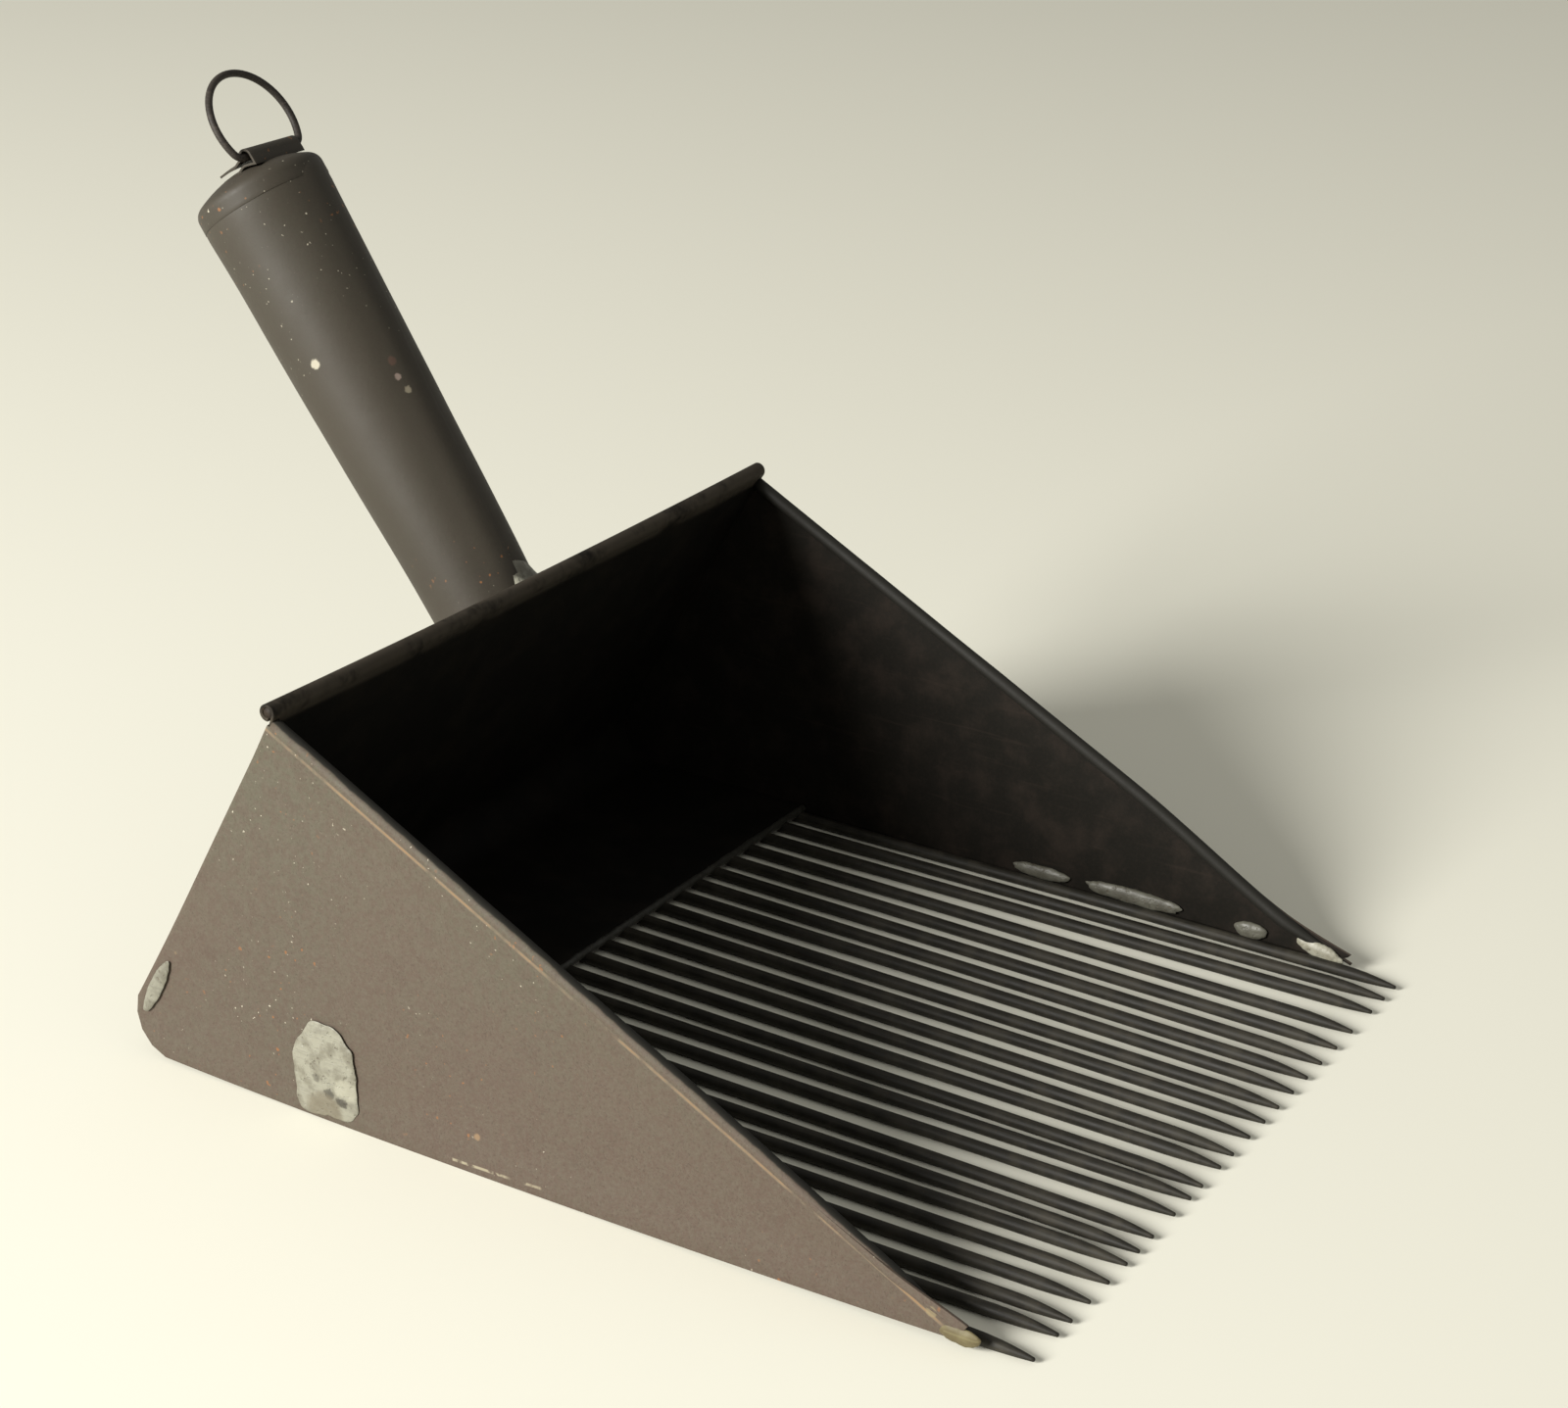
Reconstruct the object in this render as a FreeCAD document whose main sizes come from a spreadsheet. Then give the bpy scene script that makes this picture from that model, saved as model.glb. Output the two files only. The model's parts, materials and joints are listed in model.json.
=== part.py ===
"""Berry scoop of tinned sheet iron: a pan with wire tines for its front floor and a tube handle.

Frame: +Z up, the tines point along -Y, the origin is on the table under the middle of the scoop.
Units are millimetres and degrees.
"""
import FreeCAD, Part
import math
import os
import Sketcher
from FreeCAD import Placement, Rotation, Vector

doc = FreeCAD.newDocument("berry_scoop")

# ---------------------------------------------------------------- driving dimensions
SIZES = [
    ("pan_width", 200.0, "outside width over the two side plates"),
    ("sheet_gauge", 0.7, "thickness of the tinned sheet"),
    ("floor_front", 172.0, "from the tine points to the front edge of the floor"),
    ("heel_reach", 238.0, "from the tine points to where the back line meets the table"),
    ("heel_round", 10.5, "rounding of the side plates' lower back corner"),
    ("pan_bend", 9.5, "outside radius of the bend between floor and back"),
    ("back_lean", 27.6, "lean of the back from the vertical"),
    ("back_rise", 107.2, "along the back, from the table to the rolled edge's centre"),
    ("back_wire", 2.6, "wire inside the back's rolled edge"),
    ("side_roll_drop", 0.87, "from the height of the back's rolled edge down to the side plates' top line"),
    ("side_wire", 2.0, "wire inside the side plates' rolled edges"),
    ("side_roll_proud", 0.1, "how far the side rolls stand out past the plates' outer faces"),
    ("side_roll_front", 36.0, "from the tine points to the front end of the side rolls"),
    ("nose_reach", 13.0, "from the tine points to the side plates' nose"),
    ("nose_rise", 4.8, "height of the top edge at the nose"),
    ("nose_round", 2.0, "rounding of the nose"),
    ("tine_wire", 3.1, "diameter of a tine"),
    ("tine_point", 15.0, "length of a tine's pointed end"),
    ("tine_blunt", 0.45, "radius left at the very point"),
    ("tine_tail", 40.0, "length of a tine under the floor"),
    ("tine_edge_gap", 1.35, "solder gap between an outer tine and its side plate"),
    ("tine_drift", 3.2, "how far the middle tines have been pushed sideways at their points"),
    ("tine_scatter", 0.7, "how unevenly the points stand"),
    ("grip_seat", 77.0, "height where the handle's axis meets the back"),
    ("grip_angle", 53.7, "angle of the handle above the table"),
    ("grip_length", 124.0, "length of the handle tube on its axis, from the back"),
    ("grip_base", 25.0, "outside diameter of the tube at the back"),
    ("grip_end", 32.6, "outside diameter of the tube at its free end"),
    ("seam_width", 7.0, "width of the tube's lapped seam"),
    ("seam_lap", 0.45, "height of the lapped seam"),
    ("seam_turn", 20.0, "how far the seam is turned to the left from the tube's upper side"),
    ("seam_short_of_cap", 1.0, "gap between the seam's end and the cap"),
    ("grip_buried", 14.0, "tapered length drawn past the back before the tube is cut to it"),
    ("foot_depth", 9.0, "from the widest circle of solder round the handle's foot up to its seat"),
    ("foot_reach", 19.0, "radius of that widest circle"),
    ("foot_collar", 0.8, "how far the solder stands off the tube at its upper edge"),
    ("foot_height", 13.0, "from the handle's seat to that upper edge"),
    ("foot_shift", 1.2, "how far that solder has run to the right"),
    ("cap_gauge", 0.5, "thickness of the cap"),
    ("cap_skirt", 3.5, "length of cap that goes over the tube"),
    ("cap_shoulder", 3.0, "rounding of the cap's shoulder"),
    ("cap_dome", 6.1, "height of the cap's dome above the end of the tube"),
    ("dome_radius", 32.3, "radius of the dome"),
    ("strap_width", 18.0, "width of the hanger strap"),
    ("strap_gauge", 0.55, "thickness of the hanger strap"),
    ("strap_tail", 1.0, "how far the strap passes the middle of the cap"),
    ("ring_offset", 8.7, "from the handle's axis to the ring's straight bar"),
    ("ring_wire", 1.8, "diameter of the ring's wire"),
    ("ring_play", 0.08, "radial clearance of the bar in its strap"),
    ("ring_radius", 13.6, "centre-line radius of the ring's round"),
    ("ring_rise", 21.5, "from the bar to the ring's top, on the centre line"),
    ("ring_corner", 3.0, "corner radius between the bar and the round"),
    ("roll_clearance", 0.05, "gap left round the back's roll where the side plates are cut out for it"),
    ("bead_radius", 1.3, "radius of the solder bead across the tines"),
    ("bead_step", 0.3, "how far that bead's centre lies in front of the floor's edge"),
    ("bead_sunk", 0.2, "how far that bead's centre lies below the tops of the tines"),
    ("heel_solder_reach", 176.0, "from the tine points to the middle of the heel solder"),
    ("heel_solder_rise", 12.0, "height of the middle of the heel solder"),
    ("heel_solder_half", 9.5, "half length of the heel solder"),
    ("heel_solder_high", 11.0, "half height of the heel solder"),
    ("heel_solder_thick", 0.9, "how far the heel solder stands off the plate"),
    ("nose_solder_back", 5.0, "from a plate's nose back to the middle of its solder"),
    ("nose_solder_rise", 2.4, "height of the middle of the nose solder"),
    ("nose_solder_inset", 0.8, "how far that middle lies inside the plate's outer face"),
    ("nose_solder_thick", 1.6, "half thickness of the nose solder"),
    ("nose_solder_half", 9.5, "half length of the nose solder"),
    ("nose_solder_high", 2.3, "half height of the nose solder"),
    ("corner_solder_up", 23.0, "along the back, from the table to the corner solder"),
    ("corner_solder_in", 3.0, "from the back's rear face forward to the middle of the corner solder"),
    ("corner_solder_thick", 0.5, "how far the corner solder stands off the plate"),
    ("corner_solder_half", 2.4, "half width of the corner solder"),
    ("corner_solder_high", 9.0, "half length of the corner solder"),
    ("seam_solder_inset", 0.8, "from the right plate's inner face to the middle of the seam solder"),
    ("seam_solder_thick", 1.4, "half thickness of the seam solder"),
    ("seam_solder_high", 1.5, "half height of the seam solder"),
    ("seam_lump_1", 36.0, "from the tine points to the first lump of seam solder"),
    ("seam_lump_2", 71.0, "from the tine points to the second lump"),
    ("seam_lump_3", 94.0, "from the tine points to the third lump"),
    ("seam_short", 6.0, "half length of the first and third lumps"),
    ("seam_long", 14.0, "half length of the second lump"),
]

sheet = doc.addObject("Spreadsheet::Sheet", "Sizes")
for row, (alias, size, note) in enumerate(SIZES, start=1):
    sheet.set(f"A{row}", alias)
    sheet.set(f"B{row}", str(size))
    sheet.setAlias(f"B{row}", alias)
    sheet.set(f"C{row}", note)
doc.recompute()


def size_of(alias):
    """The number in the sheet's cell of that name."""
    return float(sheet.get(alias))


def drive(thing, **formulas):
    """Bind properties of a document object to formulas on the sheet's names."""
    for name, formula in formulas.items():
        thing.setExpression(name, formula)


# ---------------------------------------------------------------- places worked out from them
TINE_COUNT = 24
width = size_of("pan_width")
gauge = size_of("sheet_gauge")
tine_wire = size_of("tine_wire")
lean = math.radians(size_of("back_lean"))
along_back = Vector(0, -math.sin(lean), math.cos(lean))
off_back = Vector(0, math.cos(lean), math.sin(lean))
slope_rise = size_of("back_rise") * math.cos(lean) - size_of("nose_rise") - size_of("side_roll_drop")
slope_run = size_of("heel_reach") - size_of("back_rise") * math.sin(lean) - size_of("nose_reach")
slope = math.atan2(slope_rise, slope_run)
along_side = Vector(0, math.cos(slope), math.sin(slope))
off_side = Vector(0, -math.sin(slope), math.cos(slope))
back_roll_radius = size_of("back_wire") / 2 + gauge
side_roll_radius = size_of("side_wire") / 2 + gauge

grip_tilt = math.radians(size_of("grip_angle"))
grip_axis = Vector(0, math.cos(grip_tilt), math.sin(grip_tilt))
grip_front = Vector(0, -math.sin(grip_tilt), math.cos(grip_tilt))
grip_foot = size_of("heel_reach") - size_of("grip_seat") * math.tan(lean)
grip_length = size_of("grip_length")
grip_base = size_of("grip_base") / 2
grip_end = size_of("grip_end") / 2

# The cap's shoulder is the rearmost place, so it sets the middle of the scoop.
cap_radius = grip_end + size_of("cap_gauge")
dome_radius = size_of("dome_radius")
shoulder = size_of("cap_shoulder")
dome_centre = grip_length + size_of("cap_dome") - dome_radius
shoulder_along = dome_centre + math.sqrt((dome_radius - shoulder) ** 2 - (cap_radius - shoulder) ** 2)
shoulder_rear = Vector(0, grip_foot, 0) + grip_axis * shoulder_along - grip_front * (cap_radius - shoulder)
overall_depth = shoulder_rear.y + shoulder
FRONT = Vector(0, -overall_depth / 2, 0)

heel = FRONT + Vector(0, size_of("heel_reach"), 0)
back_roll_centre = heel + along_back * size_of("back_rise") + off_back * (back_roll_radius - gauge)
nose_top = FRONT + Vector(0, size_of("nose_reach"), size_of("nose_rise"))
behind_nose = size_of("side_roll_front") - size_of("nose_reach")
side_roll_start = nose_top + along_side * (behind_nose / along_side.y)
grip_seat = FRONT + Vector(0, grip_foot, size_of("grip_seat"))
grip_frame = Placement(grip_seat, Rotation(Vector(0, 0, 1), grip_axis))

knuckle_radius = size_of("ring_wire") / 2 + size_of("ring_play") + size_of("strap_gauge")
bar_along = dome_centre + math.sqrt((dome_radius + knuckle_radius) ** 2 - size_of("ring_offset") ** 2)
ring_bar = grip_seat + grip_axis * bar_along + grip_front * size_of("ring_offset")

# ---------------------------------------------------------------- helpers
parts = {}


def keep(node, thing):
    """Give a finished sub-part the name of its file."""
    thing.Label = node
    parts[node] = thing


def origin_plane(body, role):
    """The origin plane of a body with that role."""
    return next(feature for feature in body.Origin.OriginFeatures if feature.Role == role)


def new_sketch(body, plane, name):
    """A sketch on one of the body's own origin planes."""
    sketch = body.newObject("Sketcher::SketchObject", name)
    sketch.AttachmentSupport = [(origin_plane(body, plane), "")]
    sketch.MapMode = "FlatFace"
    return sketch


def closed_outline(sketch, corners):
    """Straight lines from corner to corner, joined end to end."""
    ends = corners[1:] + corners[:1]
    for start, end in zip(corners, ends):
        sketch.addGeometry(Part.LineSegment(Vector(*start, 0), Vector(*end, 0)), False)
    for line in range(len(corners)):
        sketch.addConstraint(Sketcher.Constraint("Coincident", line, 2, (line + 1) % len(corners), 1))


def bound(sketch, name, formula, *constraint):
    """A dimension of the sketch that follows a formula on the sheet."""
    index = sketch.addConstraint(Sketcher.Constraint(*constraint))
    sketch.renameConstraint(index, name)
    sketch.setExpression(f"Constraints.{name}", formula)


def edges_at(feature, corner):
    """Names of the edges that run along X through a corner of the feature's profile."""
    names = []
    for number, edge in enumerate(feature.Shape.Edges, start=1):
        middle = edge.CenterOfMass
        straight_along_x = abs(edge.BoundBox.XLength - edge.Length) < gauge / 10
        if straight_along_x and math.hypot(middle.y - corner.y, middle.z - corner.z) < gauge / 2:
            names.append(f"Edge{number}")
    return names


def fillet(body, base, names, formula):
    """Round those edges of the body's last feature."""
    rounding = body.newObject("PartDesign::Fillet", f"{body.Name}_round")
    rounding.Base = (base, names)
    drive(rounding, Radius=formula)
    doc.recompute()
    return rounding


def turn_about_axis(body, sketch, name):
    """A full turn of a half outline about its own upright axis."""
    turned = body.newObject("PartDesign::Revolution", name)
    turned.Profile = sketch
    turned.ReferenceAxis = (sketch, ["V_Axis"])
    turned.Angle = 360
    return turned


def cylinder(name, start, axis, radius, height):
    """A Part cylinder; radius and height are formulas on the sheet."""
    rod = doc.addObject("Part::Cylinder", name)
    drive(rod, Radius=radius, Height=height)
    rod.Placement = Placement(start, Rotation(Vector(0, 0, 1), axis))
    return rod


def cut(name, base, tool):
    """Base less tool."""
    result = doc.addObject("Part::Cut", name)
    result.Base = base
    result.Tool = tool
    result.Refine = False
    return result


def cut_all(name, base, tools):
    """Base less each tool in turn."""
    for number, tool in enumerate(tools, start=1):
        base = cut(f"{name}_{number}", base, tool)
    return base


def fuse(name, shapes):
    """Several touching shapes made one."""
    result = doc.addObject("Part::MultiFuse", name)
    result.Shapes = shapes
    result.Refine = False
    return result


def block(name, corner, lengths, rotation=Rotation()):
    """A plain Part box, used to trim other shapes."""
    box = doc.addObject("Part::Box", name)
    box.Length, box.Width, box.Height = lengths
    box.Placement = Placement(corner, rotation)
    return box


# ---------------------------------------------------------------- pan: floor and back in one sheet
def make_pan():
    """Floor, bend, back and the back's rolled edge from one sheet, and the wire in the roll."""
    body = doc.addObject("PartDesign::Body", "PanBody")
    body.Placement = Placement(FRONT, Rotation())
    sketch = new_sketch(body, "YZ_Plane", "PanProfile")
    floor_front = size_of("floor_front")
    top = size_of("back_rise")
    low = Vector(0, size_of("heel_reach"), 0) + along_back * (tine_wire / along_back.z)
    low_inner = low - off_back * gauge + along_back * (gauge * (1 + math.sin(lean)) / math.cos(lean))
    high = Vector(0, size_of("heel_reach"), 0) + along_back * top
    high_inner = high - off_back * gauge
    corners = [(floor_front, tine_wire), (low.y, low.z), (high.y, high.z),
               (high_inner.y, high_inner.z), (low_inner.y, low_inner.z), (floor_front, tine_wire + gauge)]
    closed_outline(sketch, corners)
    for line in (0, 4):
        sketch.addConstraint(Sketcher.Constraint("Horizontal", line))
    sketch.addConstraint(Sketcher.Constraint("Vertical", 5))
    sketch.addConstraint(Sketcher.Constraint("Parallel", 1, 3))
    sketch.addConstraint(Sketcher.Constraint("Perpendicular", 1, 2))
    bound(sketch, "front", "Sizes.floor_front", "DistanceX", -1, 1, 0, 1, floor_front)
    bound(sketch, "bed", "Sizes.tine_wire", "DistanceY", -1, 1, 0, 1, tine_wire)
    bound(sketch, "floor_gauge", "Sizes.sheet_gauge", "DistanceY", 0, 1, 5, 1, gauge)
    bound(sketch, "back_gauge", "Sizes.sheet_gauge", "Distance", 2, gauge)
    bound(sketch, "lean", "(90 + Sizes.back_lean) * 1 deg", "Angle", 1, math.pi / 2 + lean)
    reach = "Sizes.heel_reach - Sizes.back_rise * sin(Sizes.back_lean * 1 deg)"
    bound(sketch, "reach", reach, "DistanceX", -1, 1, 1, 2, high.y)
    rise = "Sizes.back_rise * cos(Sizes.back_lean * 1 deg)"
    bound(sketch, "rise", rise, "DistanceY", -1, 1, 1, 2, high.z)
    pad = body.newObject("PartDesign::Pad", "PanPad")
    pad.Profile = sketch
    pad.SideType = "Symmetric"
    drive(pad, Length="Sizes.pan_width - 2 * Sizes.sheet_gauge")
    doc.recompute()
    bent = fillet(body, pad, edges_at(pad, low), "Sizes.pan_bend")
    fillet(body, bent, edges_at(bent, low_inner), "Sizes.pan_bend - Sizes.sheet_gauge")
    roll_start = back_roll_centre - Vector(width / 2, 0, 0)
    roll = cylinder("BackRoll", roll_start, Vector(1, 0, 0), "Sizes.back_wire / 2 + Sizes.sheet_gauge",
                    "Sizes.pan_width")
    bore = cylinder("BackRollBore", roll_start, Vector(1, 0, 0), "Sizes.back_wire / 2", "Sizes.pan_width")
    rolled = fuse("PanRolled", [body, roll])
    keep("pan_sheet", cut("Pan", rolled, bore))
    wire = cylinder("BackWire", roll_start, Vector(1, 0, 0), "Sizes.back_wire / 2", "Sizes.pan_width")
    keep("back_edge_wire", wire)


# ---------------------------------------------------------------- side plates with rolled top edges
def side_plate_blank(side, name):
    """The flat plate, lowered along the roll to the roll's centre line."""
    body = doc.addObject("PartDesign::Body", f"{name}Body")
    outer_face = -width / 2 if side == "left" else width / 2 - gauge
    body.Placement = Placement(FRONT + Vector(outer_face, 0, 0), Rotation())
    sketch = new_sketch(body, "YZ_Plane", f"{name}Outline")
    start = side_roll_start - FRONT
    step = start - off_side * side_roll_radius
    heel_reach = size_of("heel_reach")
    back_height = (heel_reach - step.y) * math.tan(slope) + step.z
    back_height = back_height / (1 + math.tan(lean) * math.tan(slope))
    back_reach = heel_reach - back_height * math.tan(lean)
    corners = [(size_of("nose_reach"), 0), (heel_reach, 0), (back_reach, back_height),
               (step.y, step.z), (start.y, start.z), (size_of("nose_reach"), size_of("nose_rise"))]
    closed_outline(sketch, corners)
    sketch.addConstraint(Sketcher.Constraint("PointOnObject", 0, 1, -1))
    sketch.addConstraint(Sketcher.Constraint("PointOnObject", 0, 2, -1))
    sketch.addConstraint(Sketcher.Constraint("Vertical", 5))
    sketch.addConstraint(Sketcher.Constraint("Parallel", 2, 4))
    sketch.addConstraint(Sketcher.Constraint("Perpendicular", 3, 4))
    bound(sketch, "nose", "Sizes.nose_reach", "DistanceX", -1, 1, 0, 1, corners[0][0])
    bound(sketch, "heel", "Sizes.heel_reach", "DistanceX", -1, 1, 0, 2, heel_reach)
    bound(sketch, "lean", "(90 + Sizes.back_lean) * 1 deg", "Angle", 1, math.pi / 2 + lean)
    bound(sketch, "rise", "Sizes.nose_rise", "DistanceY", -1, 1, 4, 2, corners[5][1])
    bound(sketch, "roll_front", "Sizes.side_roll_front", "DistanceX", -1, 1, 4, 1, start.y)
    rise = "(Sizes.back_rise * cos(Sizes.back_lean * 1 deg) - Sizes.nose_rise - Sizes.side_roll_drop)"
    run = "(Sizes.heel_reach - Sizes.back_rise * sin(Sizes.back_lean * 1 deg) - Sizes.nose_reach)"
    bound(sketch, "slope", f"180 deg + atan({rise} / {run})", "Angle", 4, math.pi + slope)
    bound(sketch, "drop", "Sizes.side_wire / 2 + Sizes.sheet_gauge", "Distance", 3, side_roll_radius)
    pad = body.newObject("PartDesign::Pad", f"{name}Pad")
    pad.Profile = sketch
    drive(pad, Length="Sizes.sheet_gauge")
    doc.recompute()
    rounded = pad
    roundings = ((corners[1], "heel_round"), (corners[0], "nose_round"), (corners[5], "nose_round"))
    for corner, rounding in roundings:
        names = edges_at(rounded, Vector(0, *corner))
        rounded = fillet(body, rounded, names, f"Sizes.{rounding}")
    return body


def make_side_plate(side):
    """One plate with its rolled top edge, cut out for the back's roll, and the wire inside it."""
    name = side.capitalize()
    toward_middle = 1 if side == "left" else -1
    roll_middle = width / 2 + size_of("side_roll_proud") - side_roll_radius
    roll_offset = Vector(-toward_middle * roll_middle, 0, 0)
    start = side_roll_start - off_side * side_roll_radius + roll_offset
    blank = side_plate_blank(side, name)
    roll = cylinder(f"{name}Roll", start, along_side, "Sizes.side_wire / 2 + Sizes.sheet_gauge",
                    "Sizes.heel_reach")
    bore = cylinder(f"{name}Bore", start, along_side, "Sizes.side_wire / 2", "Sizes.heel_reach")
    cope_start = back_roll_centre - Vector(width, 0, 0)
    cope_radius = "Sizes.back_wire / 2 + Sizes.sheet_gauge + Sizes.roll_clearance"
    cope = cylinder(f"{name}Cope", cope_start, Vector(1, 0, 0), cope_radius, "2 * Sizes.pan_width")
    behind = block(f"{name}Behind", heel - off_back * gauge - Vector(width, 0, 0),
                   (2 * width, size_of("heel_reach"), 3 * size_of("back_rise")),
                   Rotation(Vector(1, 0, 0), size_of("back_lean")))
    trimmed_roll = cut(f"{name}RollTrim", roll, behind)
    plate = fuse(f"{name}Rolled", [blank, trimmed_roll])
    keep(f"{side}_side_plate", cut_all(f"{name}Plate", plate, [bore, cope]))
    wire = cylinder(f"{name}Wire", start, along_side, "Sizes.side_wire / 2", "Sizes.heel_reach")
    keep(f"{side}_edge_wire", cut_all(f"{name}WireEnd", wire, [behind, cope]))


# ---------------------------------------------------------------- tines
def tine_place(number):
    """Where a tine crosses the floor's front edge, and how far it is turned sideways."""
    room = width / 2 - gauge - size_of("tine_edge_gap") - tine_wire / 2
    share = (number - 1) / (TINE_COUNT - 1)
    across = room * (2 * share - 1)
    drift = -size_of("tine_drift") * math.sin(math.pi * share)
    scatter = size_of("tine_scatter") * math.sin(2.6 * number) * math.sin(math.pi * share) ** 0.5
    return across, math.degrees(math.atan2(drift + scatter, size_of("floor_front")))


def make_tine(number):
    """A wire drawn to a point: half its outline turned about its own axis."""
    body = doc.addObject("PartDesign::Body", f"Tine{number:02d}Body")
    sketch = new_sketch(body, "XY_Plane", f"Tine{number:02d}Outline")
    radius = tine_wire / 2
    blunt = size_of("tine_blunt")
    point = size_of("tine_point")
    whole = size_of("floor_front") + size_of("tine_tail")
    ogive_radius = (point ** 2 + (radius - blunt) ** 2) / (2 * (radius - blunt))
    ogive_turn = math.asin(point / ogive_radius)
    centre = Vector(radius - ogive_radius, point, 0)
    ogive = Part.Circle(centre, Vector(0, 0, 1), ogive_radius)
    sketch.addGeometry(Part.LineSegment(Vector(0, whole, 0), Vector(0, 0, 0)), False)
    sketch.addGeometry(Part.LineSegment(Vector(0, 0, 0), Vector(blunt, 0, 0)), False)
    sketch.addGeometry(Part.ArcOfCircle(ogive, -ogive_turn, 0), False)
    sketch.addGeometry(Part.LineSegment(Vector(radius, point, 0), Vector(radius, whole, 0)), False)
    sketch.addGeometry(Part.LineSegment(Vector(radius, whole, 0), Vector(0, whole, 0)), False)
    for first, second in ((0, 1), (3, 4)):
        sketch.addConstraint(Sketcher.Constraint("Coincident", first, 2, second, 1))
    sketch.addConstraint(Sketcher.Constraint("Coincident", 1, 2, 2, 1))
    sketch.addConstraint(Sketcher.Constraint("Tangent", 2, 2, 3, 1))
    sketch.addConstraint(Sketcher.Constraint("Coincident", 4, 2, 0, 1))
    sketch.addConstraint(Sketcher.Constraint("Coincident", 0, 2, -1, 1))
    sketch.addConstraint(Sketcher.Constraint("Vertical", 0))
    sketch.addConstraint(Sketcher.Constraint("Vertical", 3))
    sketch.addConstraint(Sketcher.Constraint("Horizontal", 1))
    sketch.addConstraint(Sketcher.Constraint("Horizontal", 4))
    bound(sketch, "blunt", "Sizes.tine_blunt", "DistanceX", 1, 1, 1, 2, blunt)
    bound(sketch, "wire", "Sizes.tine_wire / 2", "DistanceX", 4, 2, 4, 1, radius)
    bound(sketch, "point", "Sizes.tine_point", "DistanceY", 0, 2, 3, 1, point)
    bound(sketch, "whole", "Sizes.floor_front + Sizes.tine_tail", "DistanceY", 0, 2, 0, 1, whole)
    turned = body.newObject("PartDesign::Revolution", f"Tine{number:02d}Turned")
    turned.Profile = sketch
    turned.ReferenceAxis = (sketch, ["V_Axis"])
    turned.Angle = 360
    across, turn = tine_place(number)
    pivot = FRONT + Vector(across, size_of("floor_front"), tine_wire / 2)
    rotation = Rotation(Vector(0, 0, 1), turn)
    body.Placement = Placement(pivot + rotation.multVec(Vector(0, -size_of("floor_front"), 0)), rotation)
    keep(f"tine_{number:02d}", body)


# ---------------------------------------------------------------- handle
def frustum(name, extra, high):
    """The handle's taper, grown outwards by extra, from inside the pan up to a place on its axis."""
    cone = doc.addObject("Part::Cone", name)
    slant = "(Sizes.grip_end - Sizes.grip_base) / 2 / Sizes.grip_length"
    drive(cone, Radius1=f"Sizes.grip_base / 2 - Sizes.grip_buried * {slant} + {extra}",
          Radius2=f"Sizes.grip_base / 2 + ({high}) * {slant} + {extra}",
          Height=f"{high} + Sizes.grip_buried")
    cone.Placement = Placement(grip_seat - grip_axis * size_of("grip_buried"), grip_frame.Rotation)
    return cone


def inside_of_back(name):
    """A block that fills everything in front of the back's rear face."""
    reach = 2 * width
    corner = grip_seat - Vector(reach / 2, 0, 0) - off_back * reach - along_back * reach
    return block(name, corner, (reach, reach, 2 * reach), Rotation(Vector(1, 0, 0), size_of("back_lean")))


def make_handle_tube():
    """A tapered tube, lapped along its upper side and cut off to the lean of the back."""
    wall = cut("GripWall", frustum("GripOuter", "0", "Sizes.grip_length"),
               frustum("GripInner", "-Sizes.sheet_gauge", "Sizes.grip_length"))
    seam_top = "Sizes.grip_length - Sizes.cap_skirt - Sizes.seam_short_of_cap"
    lap = cut("LapShell", frustum("LapOuter", "Sizes.seam_lap", seam_top), frustum("LapInner", "0", seam_top))
    turn = Rotation(grip_axis, -size_of("seam_turn")).multiply(grip_frame.Rotation)
    corner = Vector(-size_of("seam_width") / 2, -2 * grip_end, -size_of("grip_buried"))
    strip = doc.addObject("Part::Box", "SeamStrip")
    drive(strip, Length="Sizes.seam_width", Width="Sizes.grip_end",
          Height="Sizes.grip_length + Sizes.grip_buried")
    strip.Placement = Placement(grip_seat + turn.multVec(corner), turn)
    seam = doc.addObject("Part::Common", "Seam")
    seam.Base = lap
    seam.Tool = strip
    tube = cut("HandleTube", fuse("GripTube", [wall, seam]), inside_of_back("TubeSeat"))
    keep("handle_tube", tube)


def make_foot_solder():
    """The cone of solder round the foot of the tube, clear of the back's rolled edge."""
    cone = doc.addObject("Part::Cone", "FootCone")
    drive(cone, Radius1="Sizes.foot_reach", Radius2="Sizes.grip_base / 2 + Sizes.foot_collar",
          Height="Sizes.foot_height + Sizes.foot_depth")
    start = grip_seat - grip_axis * size_of("foot_depth") + Vector(size_of("foot_shift"), 0, 0)
    cone.Placement = Placement(start, grip_frame.Rotation)
    solid_tube = fuse("FootCore", [frustum("FootTaper", "0", "Sizes.grip_length"), doc.getObject("Seam")])
    roll = cylinder("FootRoll", back_roll_centre - Vector(width / 2, 0, 0), Vector(1, 0, 0),
                    "Sizes.back_wire / 2 + Sizes.sheet_gauge", "Sizes.pan_width")
    keep("handle_foot_solder", cut_all("FootSolder", cone, [solid_tube, roll, inside_of_back("FootSeat")]))


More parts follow.
